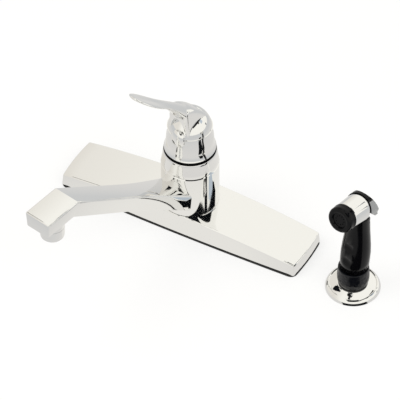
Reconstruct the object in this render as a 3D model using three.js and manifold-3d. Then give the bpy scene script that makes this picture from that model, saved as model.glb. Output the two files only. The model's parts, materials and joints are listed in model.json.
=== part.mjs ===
// Single-lever kitchen faucet on a long deck plate, with a separate side spray.
// Millimetres, +Z up. The origin lies on the deck, on the axis of the spout and the valve.
// +X runs along the deck plate towards the spray, and -Y points to the user.
import * as THREE from 'three';
import { mergeVertices } from 'three/addons/utils/BufferGeometryUtils.js';
import Module from 'manifold-3d';

const wasm = await Module();
wasm.setup();

// ---------- driving dimensions ----------

const seatGap = 0.3; // between pieces that rest on or in each other
const runGap = 0.5; // between pieces that move past each other
const threadGap = 0.3; // between a thread and its nut
const over = 1; // how far a cutting shape runs past what it cuts
const chamfer = 1; // on turned edges
const deg = Math.PI / 180;

// deck plate and its gasket
const plateLength = 263;
const plateEndWidth = 58;
const plateMidWidth = 62.7;
const plateEndHeight = 13.8; // above the deck, with the gasket
const plateMidHeight = 23.7;
const plateArchPower = 1.8; // how the top falls from the middle to the ends
const plateDraft = 3.2; // lean of the front and back walls
const plateEndDraft = 1.2; // lean of the two end walls
const plateEndBow = 0.9; // how far the ends bulge in plan
const plateCornerRadius = 7;
const plateEdgeRadius = 1.4;
const plateWall = 2.2;
const plateSeatRadius = 29.2; // flat round seat under the spout hub
const plateSeatRise = 0.4;
const gasketThickness = 1.6;
const gasketInset = 0.3; // behind the plate's lower edge
const gasketShankGap = 1.5; // round the shanks
const gasketMiddleHole = 18; // lets the hose nipple through

// brass valve body and supply shanks
const columnRadius = 21;
const columnNeckRadius = 20.4; // threaded top
const bodyFootHeight = 3.2; // underside of the casting above the deck
const bodyFootRadius = 25;
const bodyFootThickness = 5;
const shankSpacing = 203.2; // 8 in between the two deck holes
const shankRadius = 10.3;
const shankBoreRadius = 5.6;
const shankDrop = 50; // below the deck
const shankHeadRadius = 11.5;
const shankHeadTop = 11.8;
const tubeHeight = 7.2; // axis of the copper waterway tubes above the deck
const tubeRadius = 3.6;
const tubeWall = 0.8;
const tubeBossRadius = 4.9;
const tubeBossReach = 34;
const tubeSocketDepth = 10; // of the tubes in the casting
const deckThickness = 9; // sink deck between the gasket and the washers
const washerThickness = 2;
const washerRadius = 18.5;
const nutThickness = 9;
const nutAcross = 32;
const outletNippleRadius = 5.8; // where the spray hose is screwed on
const outletNippleBore = 3.2;
const outletNippleDrop = 32;
const outletNippleTop = 14;
const outletCollarAcross = 15;
const outletCollarThickness = 4;
const diverterRadius = 5.4;
const diverterLength = 13;
const diverterWaist = 3.8;

// cartridge
const pivotHeight = 79; // where the lever's stem pivots, above the deck
const cartridgeRadius = 17.2;
const cartridgeDepth = 24; // from the pivot down to its underside
const cartridgeShoulderDrop = 0.5; // shoulder below the pivot
const cartridgeTopRise = 7; // rim above the pivot
const cartridgeBossRadius = 14.4;
const cartridgeFloor = 5;
const cartridgeChamberRadius = 14.8;
const discThickness = 4;
const fixedDiscRadius = 14.2;
const movingDiscRadius = 11.6;
const discPortRadius = 2.6;
const discPortOffset = 10;
const carrierRadius = 11.8;
const carrierDrop = 5.8; // underside below the pivot
const carrierRise = 6.4; // top above the pivot
const carrierRim = 2.5; // left standing at the ends of the stem's slot
const stemSide = 7;
const stemLength = 40; // above the pivot
const stemTailLength = 8; // below the pivot
const stemBall = 2; // radius of its lower end
const stemPinRadius = 1.4;
const discBlockWall = 2.4; // round the stem's ball
const discPocketMargin = 3; // between the pocket and the moving disc's rim
const stemLean = 12.5 * deg; // towards the lever while the valve is shut
const retainerInnerRadius = 15;
const retainerRise = 7.6; // top above the pivot
const retainerOuterRadius = 17;
const retainerSlotWidth = 4;

// spout
const spoutTurn = 11.3 * deg; // swung to the user's left
const hubRadius = 28.4;
const hubBoreRadius = 23.4;
const hubTop = 74;
const oRingThickness = 3.3;
const oRingHeights = [34, 59];
const bearingRingThickness = 1.5;
const spoutReach = 197.9; // hub axis to aerator axis
const spoutTopHeight = 163.7; // above the deck
const armRise = 35.4 * deg;
const armDepth = 17.1; // square to the arm
const armWidth = 29.3;
const armWaistWidth = 26.5;
const armRootWidth = 41;
const armLowerShare = 0.9; // width of the arm's underside over that of its top
const armStart = 12; // the arm is drawn from inside the hub
const armWaistStart = 90;
const armRootEdgeRadius = 8; // the arm's edges are rounder where it leaves the hub
const armEdgeRadius = 1.6;
const armWall = 2.6;
const tipBack = 21.2; // level end, behind the aerator axis
const tipFront = 20.3; // and in front of it
const aeratorRadius = 11.8;
const aeratorBossHeight = 6;
const aeratorHeight = 13;
const aeratorThreadRadius = 9.4;
const aeratorThreadHeight = 6;
const aeratorBoreRadius = 7.7;
const aeratorScreenThickness = 2;
const aeratorScreenHeight = 3; // above the housing's lower end
const aeratorWasherThickness = 1.2;
const aeratorNotchCount = 12;

// bonnet and lever handle
const bonnetBottomRadius = 28.2;
const bonnetTopRadius = 25.3;
const bonnetTop = 93.5;
const bonnetWall = 2.4;
const bonnetMouthRadius = 13;
const bonnetThreadHeight = 9;
const handleTurn = 12 * deg; // swung to the user's left
const handleTop = 131; // crown of the dome under the lever's root
const handleWall = 2.4;
const handleShoulderRadius = 23;
const handleSocketRadius = 7.6;
const leverRise = 43 * deg;
const leverReach = 80; // axis to lever tip, measured level
const leverAxisHeight = 141.2; // where the lever's centre line meets the valve axis
const leverRootWidth = 27;
const leverNeckWidth = 17;
const leverPaddleWidth = 28.5;
const leverRootDepth = 19;
const leverNeckDepth = 7;
const leverTipDepth = 4.6;
const leverBack = 23; // its blade starts this far behind the axis, inside the cap
const handleLayer = 0.8; // step from the skirt to the cap, and from the cap to the lever's band
const capEdgeHeight = 120.5; // lower edge of the cap
const bandBackHalfWidth = 9.5; // lever's band over the cap
const bandFrontHalfWidth = 14;
const archHalfWidth = 13; // opening of the cap under the lever
const archHeight = 19;
const leverDish = 1.8; // hollow for the thumb
const setScrewRadius = 2;
const setScrewLength = 10;
const setScrewHeight = 116.6;
const setScrewBossWall = 2.4;
const tongueRadii = [8, 4.6, 10]; // half sizes of the lever's foot round the set screw

// side spray: holder in the deck
const sprayX = 184.2;
const sprayY = -9.7;
const sprayTurn = -8.6 * deg; // nozzle swung to the user's left
const flangeRadius = 26.8;
const flangeRimHeight = 6;
const flangeRimRadius = 23.4;
const flangeTop = 8;
const flangeHollow = 3; // depth of the groove under it
const cupRadius = 15.7;
const cupRimRadius = 15;
const cupTop = 28.4;
const cupThroatRadius = 10.8;
const cupThroatHeight = 17;
const holderShankRadius = 12.4;
const holderBoreRadius = 9.6;
const holderDrop = 30;
const holderNutAcross = 38;
const couplingRadius = 8.6;
const couplingBottom = 1;
const couplingFloor = 8.4;

// side spray: hand piece
const gripFootRadius = 14.1;
const gripBellyRadius = 14.5;
const gripBellyHeight = 44;
const gripNeckRadius = 11.6;
const gripNeckHeight = 86;
const gripLean = 4.8; // how far the top lies behind the foot
const plugRadius = 12.4;
const plugTaperHeight = 22.4;
const plugBottom = 17.6;
const spigotRadius = 5.8;
const spigotBottom = 10.2;
const waterBoreRadius = 3.2;
const headSetback = 0.7; // lever pin behind the holder's axis
const headHeight = 106.4; // lever pin above the deck
const headTilt = 12.4 * deg; // nozzle raised
const nozzleReach = 28.6; // lever pin to the nozzle's face
const nozzleRingLength = 10.2;
const nozzleRadius = 13.2;
const nozzleLipRadius = 7.4;
const nozzleLipThickness = 1.6;
const nozzleWall = 3.4;
const sprayFaceThickness = 2.4;
const sprayHoleRadius = 0.6;
const sprayHoleCount = 10;
const sprayHoleCircle = 4.6;
const collarRadius = 13.9;
const collarFrontRadius = 13.2; // at the nozzle ring
const collarWall = 1.5;
const collarBack = 4; // behind the lever pin
const faceWasherThickness = 1.2;
const barrelBoreRadius = 5;
const barrelTailWidth = 13.6; // between the lever's ears
const barrelTailBack = 2.8;
const thumbRecessBack = 12.4; // flat in the grip's back, behind the lever pin
const thumbRecessDrop = 6; // how far that flat runs below the lever
const leverPinRadius = 1.5;
const leverEarThickness = 2.6;
const leverEarRadius = 3.8;
const earNotch = 1.4; // how far the barrel's end reaches over the ears' inner faces
const leverBarRadius = 1.5;
const leverHoodRadius = 14.7;
const leverHoodBack = 16.8; // back of the hood behind the lever pin
const leverWall = 2.8;
const thumbHalfWidth = 12;
const thumbDrop = 12.5; // lower end below the lever pin
const thumbBack = 23; // lower end behind the lever pin
const leverSwing = 11.5 * deg;
const plungerRadius = 2.6;
const plungerOffset = 6; // behind the lever pin
const plungerLength = 18.6;
const chamberBottom = 78.4; // of the plunger's bore
const passageRadius = 2; // cross drillings for the water
const upperPassageDrop = 19; // below the lever pin
const springWireRadius = 0.4;
const springRadius = 2.2;
const springTurns = 3;

// smoothness of round forms
const fineSegments = 32;
const middleSegments = 24;
const coarseSegments = 16;

// ---------- materials ----------

function finish(color, roughness, metalness) {
  return new THREE.MeshStandardMaterial({ color, roughness, metalness });
}

const chrome = finish(0xdcdfe2, 0.08, 1);
const brass = finish(0xb8924a, 0.35, 1);
const copper = finish(0xb87352, 0.35, 1);
const steel = finish(0xa9acad, 0.3, 1);
const blackPlastic = finish(0x17181b, 0.3, 0);
const greyPlastic = finish(0x8f9296, 0.35, 0);
const whitePlastic = finish(0xe8e8e2, 0.5, 0);
const rubber = finish(0x1c1c1c, 0.8, 0);
const ceramic = finish(0xe9e4d8, 0.25, 0);

// ---------- solids ----------

// A closed solid from any three.js geometry whose seams only touch.
function solid(geometry) {
  const bare = geometry.clone();
  bare.deleteAttribute('normal');
  bare.deleteAttribute('uv');
  const merged = mergeVertices(bare, 1e-4);
  const triangles = [];
  const index = merged.index.array;
  for (let i = 0; i < index.length; i += 3) {
    const [a, b, c] = [index[i], index[i + 1], index[i + 2]];
    if (a !== b && b !== c && c !== a) triangles.push(a, b, c);
  }
  const build = (list) => new wasm.Manifold(new wasm.Mesh({
    numProp: 3,
    vertProperties: new Float32Array(merged.attributes.position.array),
    triVerts: new Uint32Array(list),
  }));
  const made = build(triangles);
  if (made.volume() > 0) return made;
  return build(triangles.reverse());
}

// A smooth-shaded three.js geometry from a solid.
function geometryOf(shape) {
  const mesh = shape.getMesh();
  const geometry = new THREE.BufferGeometry();
  geometry.setAttribute('position', new THREE.BufferAttribute(new Float32Array(mesh.vertProperties), 3));
  geometry.setIndex(new THREE.BufferAttribute(new Uint32Array(mesh.triVerts), 1));
  geometry.computeVertexNormals();
  return geometry;
}

function join(...shapes) {
  return shapes.reduce((sum, shape) => sum.add(shape));
}

function cut(shape, ...tools) {
  return tools.reduce((rest, tool) => rest.subtract(tool), shape);
}

// A solid turned round +Z from [radius, height] points, closed on itself or on the axis.
function turned(profile, segments = coarseSegments) {
  const points = profile.map(([r, z]) => new THREE.Vector2(r, z));
  if (points[0].x > 0 || points.at(-1).x > 0) points.push(points[0].clone());
  const geometry = new THREE.LatheGeometry(points, segments);
  geometry.rotateX(Math.PI / 2);
  return solid(geometry);
}

function cylinder(radius, bottom, top, segments = coarseSegments) {
  return turned([[0, bottom], [radius, bottom], [radius, top], [0, top]], segments);
}

function ring(inner, outer, bottom, top, segments = coarseSegments) {
  return turned([[inner, bottom], [outer, bottom], [outer, top], [inner, top]], segments);
}

function box(width, depth, height) {
  return solid(new THREE.BoxGeometry(width, depth, height));
}

// The same solid after a turn (radians about X, Y, Z) and a move.
function placed(shape, x, y, z, turnX = 0, turnY = 0, turnZ = 0) {
  const matrix = new THREE.Matrix4().makeRotationFromEuler(new THREE.Euler(turnX, turnY, turnZ));
  matrix.setPosition(x, y, z);
  return shape.transform(matrix.elements);
}

// Rods laid along +X and along +Y, with both ends measured from the origin.
function rodAlongX(radius, from, to, segments = 12) {
  return placed(cylinder(radius, from, to, segments), 0, 0, 0, 0, Math.PI / 2);
}

function rodAlongY(radius, from, to, segments = 12) {
  return placed(cylinder(radius, from, to, segments), 0, 0, 0, -Math.PI / 2);
}

// A hexagonal prism with the given width across its flats.
function hexPrism(across, bottom, top) {
  const turn = Math.PI / 6;
  const prism = new THREE.CylinderGeometry(across / Math.sqrt(3), across / Math.sqrt(3), top - bottom, 6);
  prism.rotateX(Math.PI / 2);
  prism.rotateZ(turn);
  prism.translate(0, 0, (bottom + top) / 2);
  return solid(prism);
}

// A solid through closed sections that all have the same number of points.
function lofted(sections) {
  const count = sections[0].length;
  const vertices = sections.flat().flatMap((p) => [p.x, p.y, p.z]);
  const index = [];
  for (let s = 0; s + 1 < sections.length; s++) {
    for (let i = 0; i < count; i++) {
      const a = s * count + i;
      const b = s * count + ((i + 1) % count);
      index.push(a, b, b + count, a, b + count, a + count);
    }
  }
  const last = (sections.length - 1) * count;
  for (let i = 1; i + 1 < count; i++) {
    index.push(0, i + 1, i);
    index.push(last, last + i, last + i + 1);
  }
  const geometry = new THREE.BufferGeometry();
  geometry.setAttribute('position', new THREE.Float32BufferAttribute(vertices, 3));
  geometry.setIndex(index);
  return solid(geometry);
}

function smoothStep(from, to, value) {
  return THREE.MathUtils.smoothstep(value, from, to);
}

function mix(a, b, t) {
  return a + (b - a) * t;
}

const object = new THREE.Group();

function group(parent, x, y, z, turnZ = 0) {
  const made = new THREE.Group();
  made.position.set(x, y, z);
  made.rotation.z = turnZ;
  parent.add(made);
  return made;
}

function piece(parent, name, shape, material) {
  const mesh = new THREE.Mesh(geometryOf(shape), material);
  mesh.name = name;
  parent.add(mesh);
  return mesh;
}

// ---------- deck plate ----------

const plateHalf = plateLength / 2;
const plateRise = plateMidHeight - plateEndHeight;
const seatTop = plateMidHeight + plateSeatRise;

function plateTopAt(x) {
  return plateMidHeight - plateRise * Math.min(1, Math.abs(x) / plateHalf) ** plateArchPower;
}

function plateHalfWidthAt(x) {
  const bow = 1 - Math.min(1, Math.abs(x) / plateHalf) ** 2;
  return mix(plateEndWidth, plateMidWidth, bow) / 2;
}

// Stations along the back edge of the plan, from one end's middle round its corner to the other's.
function plateStations(inset, endInset) {
  const radius = plateCornerRadius - Math.min(inset, plateCornerRadius - 1);
  const reach = plateHalf - plateEndBow - endInset;
  const edgeAt = (x) => plateHalfWidthAt(x) - inset;
  const end = [0.2, 0.6].map((share) => [
    reach + plateEndBow * (1 - share ** 2),
    share * (edgeAt(reach) - radius),
  ]);
  const cornerSteps = 4;
  for (let k = cornerSteps; k >= 0; k--) {
    const angle = (k / cornerSteps) * (Math.PI / 2);
    const x = reach - radius * (1 - Math.sin(angle));
    end.push([x, edgeAt(x) - radius * (1 - Math.cos(angle))]);
  }
  const straight = [];
  const straightSteps = 10;
  for (let k = 1; k < straightSteps; k++) {
    const x = mix(radius - reach, reach - radius, k / straightSteps);
    straight.push([x, edgeAt(x)]);
  }
  return [...end.map(([x, y]) => [-x, y]), ...straight, ...end.reverse()];
}

function plateOutline(inset, endInset, heightAt) {
  const back = plateStations(inset, endInset);
  const front = back.map(([x, y]) => [x, -y]).reverse();
  return [...back, ...front].map(([x, y]) => new THREE.Vector3(x, y, heightAt(x)));
}

// Stacked plan outlines, closed above and below by strips across the plate.
function plateStack(levels) {
  const outlines = levels.map((level) => plateOutline(...level));
  const count = outlines[0].length;
  const vertices = outlines.flat().flatMap((p) => [p.x, p.y, p.z]);
  const index = [];
  for (let s = 0; s + 1 < outlines.length; s++) {
    for (let i = 0; i < count; i++) {
      const a = s * count + i;
      const b = s * count + ((i + 1) % count);
      index.push(a, a + count, b + count, a, b + count, b);
    }
  }
  const last = (outlines.length - 1) * count;
  for (let i = 0; i + 1 < count / 2; i++) {
    const j = count - 1 - i;
    index.push(i, i + 1, j - 1, i, j - 1, j);
    index.push(last + i, last + j - 1, last + i + 1, last + i, last + j, last + j - 1);
  }
  const geometry = new THREE.BufferGeometry();
  geometry.setAttribute('position', new THREE.Float32BufferAttribute(vertices, 3));
  geometry.setIndex(index);
  return solid(geometry);
}

function deckPlate() {
  const edge = (t) => [
    plateDraft + plateEdgeRadius * (1 - Math.cos(t)),
    plateEndDraft + plateEdgeRadius * (1 - Math.cos(t)),
    (x) => plateTopAt(x) - plateEdgeRadius * (1 - Math.sin(t)),
  ];
  const bottom = gasketThickness + seatGap;
  const outside = plateStack([
    [0, 0, () => bottom],
    edge(0),
    edge(Math.PI / 4),
    edge(Math.PI / 2),
  ]);
  const inside = plateStack([
    [plateWall, plateWall, () => bottom - 1],
    [plateWall + plateDraft, plateWall + plateEndDraft, (x) => plateTopAt(x) - plateWall],
  ]);
  const seat = cylinder(plateSeatRadius, plateMidHeight - plateWall, seatTop, fineSegments);
  const hole = cylinder(columnRadius + seatGap, 0, seatTop + 1, fineSegments);
  return cut(join(cut(outside, inside), seat), hole);
}

function baseGasket() {
  const level = (height) => [gasketInset, gasketInset, () => height];
  const sheet = plateStack([level(0), level(gasketThickness)]);
  const hole = (radius) => cylinder(radius, -over, gasketThickness + over);
  const shankHole = hole(shankRadius + gasketShankGap);
  const shankHoles = [-1, 1].map((side) => placed(shankHole, side * shankSpacing / 2, 0, 0));
  return cut(sheet, hole(gasketMiddleHole), ...shankHoles);
}

// ---------- valve body, supply and mounting hardware ----------

const oRingMiddle = (columnRadius + hubBoreRadius - oRingThickness) / 2 + seatGap;
const cartridgeBottom = pivotHeight - cartridgeDepth;
const cartridgeShoulder = pivotHeight - cartridgeShoulderDrop;
const cartridgeTop = pivotHeight + cartridgeTopRise;
const carrierBottom = pivotHeight - carrierDrop;
const carrierTop = pivotHeight + carrierRise;
const retainerTop = pivotHeight + retainerRise;
const cartridgeBore = cartridgeRadius + seatGap;
const columnTop = retainerTop + 0.6;
const outletHeight = (oRingHeights[0] + oRingHeights[1]) / 2;
const diverterBore = diverterRadius + seatGap + runGap;
const tubeSocketFloor = tubeBossReach - tubeSocketDepth;

function valveBody() {
  const footTop = bodyFootHeight + bodyFootThickness;
  const wellFloor = cartridgeBottom - seatGap;
  const groove = (z) => {
    const half = oRingThickness / 2 + seatGap;
    const floor = oRingMiddle - half;
    return [[columnRadius, z - half], [floor, z - half], [floor, z + half], [columnRadius, z + half]];
  };
  const column = turned([
    [0, bodyFootHeight],
    [bodyFootRadius, bodyFootHeight],
    [bodyFootRadius, footTop],
    [columnRadius, footTop],
    ...oRingHeights.flatMap(groove),
    [columnRadius, hubTop - chamfer],
    [columnNeckRadius, hubTop - chamfer / 2],
    [columnNeckRadius, columnTop],
    [cartridgeBore, columnTop],
    [cartridgeBore, wellFloor],
    [0, wellFloor],
  ], middleSegments);
  const sides = (rod) => [0, Math.PI].map((turn) => placed(rod, 0, 0, tubeHeight, 0, 0, turn));
  const bosses = sides(rodAlongX(tubeBossRadius, columnRadius - over, tubeBossReach));
  const sockets = sides(rodAlongX(tubeRadius + seatGap, tubeSocketFloor, tubeBossReach + over));
  const passages = sides(rodAlongX(discPortRadius, discPortOffset, tubeSocketFloor + over, 8));
  const riser = cylinder(discPortRadius, tubeHeight - discPortRadius, cartridgeBottom, 8);
  const risers = [-1, 1].map((side) => placed(riser, side * discPortOffset, 0, 0));
  const mixed = placed(cylinder(discPortRadius, outletHeight, cartridgeBottom, 8), 0, discPortOffset, 0);
  const sidePort = placed(rodAlongY(discPortRadius, 0, columnRadius + over, 8), 0, 0, outletHeight);
  const diverterWell = cylinder(diverterBore, 0, outletHeight, 16);
  return cut(
    join(column, ...bosses),
    ...sockets,
    ...passages,
    ...risers,
    mixed,
    sidePort,
    diverterWell,
  );
}

function waterwayTube(side) {
  const end = shankSpacing / 2 - shankHeadRadius / 2;
  const tube = ring(tubeRadius - tubeWall, tubeRadius, tubeSocketFloor + seatGap, end);
  return placed(tube, 0, 0, tubeHeight, 0, side * Math.PI / 2);
}

// A threaded shank with the round head that takes the waterway tube from the middle.
function inletShank(side) {
  const foot = gasketThickness + seatGap;
  const blank = turned([
    [0, -shankDrop],
    [shankRadius - chamfer, -shankDrop],
    [shankRadius, -shankDrop + chamfer],
    [shankRadius, foot],
    [shankHeadRadius, foot],
    [shankHeadRadius, shankHeadTop - chamfer],
    [shankHeadRadius - chamfer, shankHeadTop],
    [0, shankHeadTop],
  ]);
  const bore = cylinder(shankBoreRadius, -shankDrop - over, tubeHeight);
  const inward = side > 0 ? Math.PI : 0;
  const socket = placed(
    rodAlongX(tubeRadius + seatGap, 0, shankHeadRadius + over, coarseSegments),
    0, 0, tubeHeight, 0, 0, inward,
  );
  return cut(blank, bore, socket);
}

function lockNut(across, shank) {
  return cut(hexPrism(across, -nutThickness, 0), cylinder(shank + threadGap, -nutThickness - over, over));
}

function lockWasher(radius, shank) {
  return ring(shank + threadGap, radius, -washerThickness, 0);
}

function outletNipple() {
  const collarTop = bodyFootHeight - seatGap;
  const blank = join(
    cylinder(outletNippleRadius, -outletNippleDrop, outletNippleTop),
    hexPrism(outletCollarAcross, collarTop - outletCollarThickness, collarTop),
  );
  return cut(blank, cylinder(outletNippleBore, -outletNippleDrop - over, outletNippleTop + over));
}

// The sliding valve that sends water to the spray while its lever is pressed.
function diverter() {
  const third = diverterLength / 3;
  return turned([
    [0, 0],
    [diverterRadius, 0],
    [diverterRadius, third],
    [diverterWaist, third],
    [diverterWaist, 2 * third],
    [diverterRadius, 2 * third],
    [diverterRadius - chamfer, diverterLength],
    [0, diverterLength],
  ]);
}

function buildValve() {
  piece(object, 'valve_body', valveBody(), brass);
  for (const [name, side] of [['left', -1], ['right', 1]]) {
    const atShank = group(object, side * shankSpacing / 2, 0, 0);
    piece(object, `waterway_tube_${name}`, waterwayTube(side), copper);
    piece(atShank, `inlet_shank_${name}`, inletShank(side), brass);
    const washer = piece(atShank, `shank_washer_${name}`, lockWasher(washerRadius, shankRadius), steel);
    washer.position.z = -deckThickness;
    const nut = piece(atShank, `shank_nut_${name}`, lockNut(nutAcross, shankRadius), brass);
    nut.position.z = -deckThickness - washerThickness - seatGap;
  }
  piece(object, 'spray_outlet_nipple', outletNipple(), brass);
  piece(object, 'diverter', diverter(), whitePlastic).position.z = outletNippleTop + seatGap;
}

// ---------- cartridge ----------

const chamberFloor = cartridgeBottom + cartridgeFloor;
const fixedDiscTop = chamberFloor + seatGap + discThickness;
const movingDiscBottom = fixedDiscTop + seatGap;
const movingDiscTop = movingDiscBottom + discThickness;

function ports(bottom, top) {
  const hole = cylinder(discPortRadius, bottom, top, 8);
  const centres = [[discPortOffset, 0], [-discPortOffset, 0], [0, discPortOffset]];
  return centres.map(([x, y]) => placed(hole, x, y, 0));
}

function cartridgeBody() {
  const neck = carrierBottom - seatGap;
  const shell = turned([
    [0, cartridgeBottom],
    [cartridgeRadius, cartridgeBottom],
    [cartridgeRadius, cartridgeShoulder],
    [cartridgeBossRadius, cartridgeShoulder],
    [cartridgeBossRadius, cartridgeTop],
    [carrierRadius + seatGap, cartridgeTop],
    [carrierRadius + seatGap, neck],
    [cartridgeChamberRadius, neck],
    [cartridgeChamberRadius, chamberFloor],
    [0, chamberFloor],
  ]);
  return cut(shell, ...ports(cartridgeBottom - over, chamberFloor + over));
}

function fixedDisc() {
  const bottom = chamberFloor + seatGap;
  return cut(cylinder(fixedDiscRadius, bottom, fixedDiscTop), ...ports(bottom - over, fixedDiscTop + over));
}

// Modelled on the pivot: the pocket below links the ports, the block above takes the stem's ball.
function movingDisc() {
  const bottom = movingDiscBottom - pivotHeight;
  const top = movingDiscTop - pivotHeight;
  const blockTop = -stemTailLength + stemBall;
  const disc = cylinder(movingDiscRadius, bottom, top);
  const pocket = cylinder(movingDiscRadius - discPocketMargin, bottom - over, bottom + discThickness / 2);
  const block = cylinder(stemBall + discBlockWall, top - over, blockTop);
  const socket = cylinder(stemBall + seatGap, -stemTailLength - stemBall - seatGap, blockTop + over);
  return cut(join(cut(disc, pocket), block), socket);
}

// A drum that turns in the cartridge and lets the stem swing in its slot.
function stemCarrier() {
  const bottom = carrierBottom - pivotHeight;
  const top = carrierTop - pivotHeight;
  const drum = cylinder(carrierRadius, bottom, top);
  const slot = box(stemSide + 2 * seatGap, 2 * (carrierRadius - carrierRim), 2 * stemLength);
  return cut(drum, slot, rodAlongX(stemPinRadius + seatGap, -carrierRadius - over, carrierRadius + over));
}

// The square stem leans with the lever; its ball end pushes the moving disc.
function stem() {
  const middle = (stemLength - stemSide / 2) / 2;
  const blade = placed(box(stemSide, stemSide, stemLength + stemSide / 2), 0, 0, middle);
  const tail = cylinder(0.8 * stemBall, -stemTailLength, 0, 12);
  const ball = solid(new THREE.SphereGeometry(stemBall, 12, 8).translate(0, 0, -stemTailLength));
  const pinHole = rodAlongX(stemPinRadius + seatGap, -stemSide, stemSide);
  return placed(cut(join(blade, tail, ball), pinHole), 0, 0, 0, stemLean);
}

function stemPin() {
  const half = carrierRadius - chamfer;
  return rodAlongX(stemPinRadius, -half, half);
}

// A ring screwed into the top of the column, with four slots for its key.
function retainingNut() {
  const nut = ring(retainerInnerRadius, retainerOuterRadius, cartridgeShoulder + seatGap, retainerTop);
  const bar = box(3 * retainerOuterRadius, retainerSlotWidth, retainerSlotWidth);
  const slots = [0, 1].map((k) => placed(bar, 0, 0, retainerTop, 0, 0, k * Math.PI / 2));
  return cut(nut, ...slots);
}

// ---------- spout ----------

const hubBottom = seatTop + seatGap;
const bearingTop = hubBottom + bearingRingThickness;
const armTopRun = spoutReach - tipBack; // where the sloping top meets the level tip
const tipUnderside = spoutTopHeight - armDepth;

function oRing(height) {
  const section = new THREE.TorusGeometry(oRingMiddle, oRingThickness / 2, 6, 20);
  return solid(section.translate(0, 0, height));
}

function bearingRing() {
  return ring(columnRadius + runGap, hubRadius - 1.4, hubBottom, bearingTop, fineSegments);
}

// A rounded trapezoid across the arm. The arm points along -Y; run is measured from the hub's
// axis and slant is the lean of the section's plane.
function armSection(run, top, slant, depth, width, edge, inset) {
  const lower = armLowerShare * width;
  const corners = [
    [width / 2, 0],
    [-width / 2, 0],
    [-lower / 2, -depth],
    [lower / 2, -depth],
  ];
  const radius = Math.max(armEdgeRadius / 3, edge - inset);
  const points = [];
  corners.forEach(([x, v], k) => {
    const sideX = Math.sign(x);
    const sideV = v < 0 ? 1 : -1;
    const cx = x - sideX * (inset + radius);
    const cv = v + sideV * (inset + radius);
    for (let j = 0; j <= 3; j++) {
      const angle = (Math.PI / 2) * (k + j / 3);
      points.push([cx + radius * Math.cos(angle), cv + radius * Math.sin(angle)]);
    }
  });
  return points.map(([x, v]) => new THREE.Vector3(
    x,
    -(run - v * Math.sin(slant)),
    top + v * Math.cos(slant),
  ));
}

function armWidthAt(run) {
  const waist = mix(armWaistWidth, armWidth, smoothStep(armWaistStart, armTopRun, run));
  return mix(armRootWidth, waist, smoothStep(armStart, armWaistStart, run) ** 0.6);
}

function armEdgeAt(run) {
  return mix(armRootEdgeRadius, armEdgeRadius, smoothStep(armStart, 1.3 * armWaistStart, run));
}

// The outside of the arm with inset 0, and its waterway with the wall as inset.
function arm(inset, start, frontInset) {
  const fall = Math.tan(armRise);
  const shares = [0, 0.04, 0.09, 0.15, 0.25, 0.38, 0.55, 0.78];
  const sloping = shares.map((share) => {
    const run = mix(start, armTopRun, share);
    const top = spoutTopHeight - (armTopRun - run) * fall;
    return armSection(run, top, armRise, armDepth, armWidthAt(run), armEdgeAt(run), inset);
  });
  const mitre = armSection(
    armTopRun,
    spoutTopHeight,
    armRise / 2,
    armDepth / Math.cos(armRise / 2),
    armWidth,
    armEdgeRadius,
    inset,
  );
  const end = spoutReach + tipFront - frontInset;
  const front = armSection(end, spoutTopHeight, 0, armDepth, armWidth - 1, armEdgeRadius, inset);
  return lofted([...sloping, mitre, front]);
}

function spout() {
  const hubFoot = hubRadius - 1.1; // laps over the edge of the bearing ring
  const hub = turned([
    [hubBoreRadius, bearingTop + seatGap],
    [hubFoot, bearingTop + seatGap],
    [hubFoot, hubBottom],
    [hubRadius, hubBottom],
    [hubRadius, hubTop - chamfer],
    [hubRadius - chamfer, hubTop],
    [hubBoreRadius, hubTop],
  ], fineSegments);
  const outletBottom = tipUnderside - aeratorBossHeight;
  const boss = cylinder(aeratorRadius, outletBottom, tipUnderside + over, fineSegments);
  const mouth = cylinder(aeratorThreadRadius + threadGap, outletBottom - over, tipUnderside + armWall + over);
  const bore = cylinder(hubBoreRadius, 0, hubTop + over, fineSegments);
  const below = cylinder(2 * hubRadius, -spoutTopHeight, bearingTop + seatGap);
  const outside = join(cut(arm(0, armStart, 0), bore, below), hub, placed(boss, 0, -spoutReach, 0));
  return cut(outside, arm(armWall, armStart + armWall, armWall), placed(mouth, 0, -spoutReach, 0));
}

function aeratorHousing() {
  const blank = turned([
    [aeratorBoreRadius, -aeratorHeight],
    [aeratorRadius - 1.2, -aeratorHeight],
    [aeratorRadius - 0.4, -aeratorHeight + 1],
    [aeratorRadius, -aeratorHeight + 5],
    [aeratorRadius, -seatGap],
    [aeratorThreadRadius, -seatGap],
    [aeratorThreadRadius, aeratorThreadHeight],
    [aeratorBoreRadius, aeratorThreadHeight],
  ], middleSegments);
  const notch = placed(box(0.9, 1.4, 5), aeratorRadius, 0, -aeratorHeight + 1.6); // for a key or a coin
  const notches = [];
  for (let k = 0; k < aeratorNotchCount; k++) {
    notches.push(placed(notch, 0, 0, 0, 0, 0, (k / aeratorNotchCount) * 2 * Math.PI));
  }
  return cut(blank, ...notches);
}

// A disc of square holes that breaks up the stream.
function aeratorScreen() {
  const disc = cylinder(aeratorBoreRadius - seatGap, 0, aeratorScreenThickness);
  const pitch = 2.8;
  const hole = box(0.6 * pitch, 0.6 * pitch, 3 * aeratorScreenThickness);
  const holes = [];
  for (let i = -2; i <= 2; i++) {
    for (let j = -2; j <= 2; j++) {
      if (Math.hypot(i, j) <= 2) holes.push(placed(hole, i * pitch, j * pitch, 0));
    }
  }
  return cut(disc, ...holes);
}

function aeratorWasher() {
  return ring(aeratorBoreRadius - 1, aeratorThreadRadius, 0, aeratorWasherThickness);
}

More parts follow.
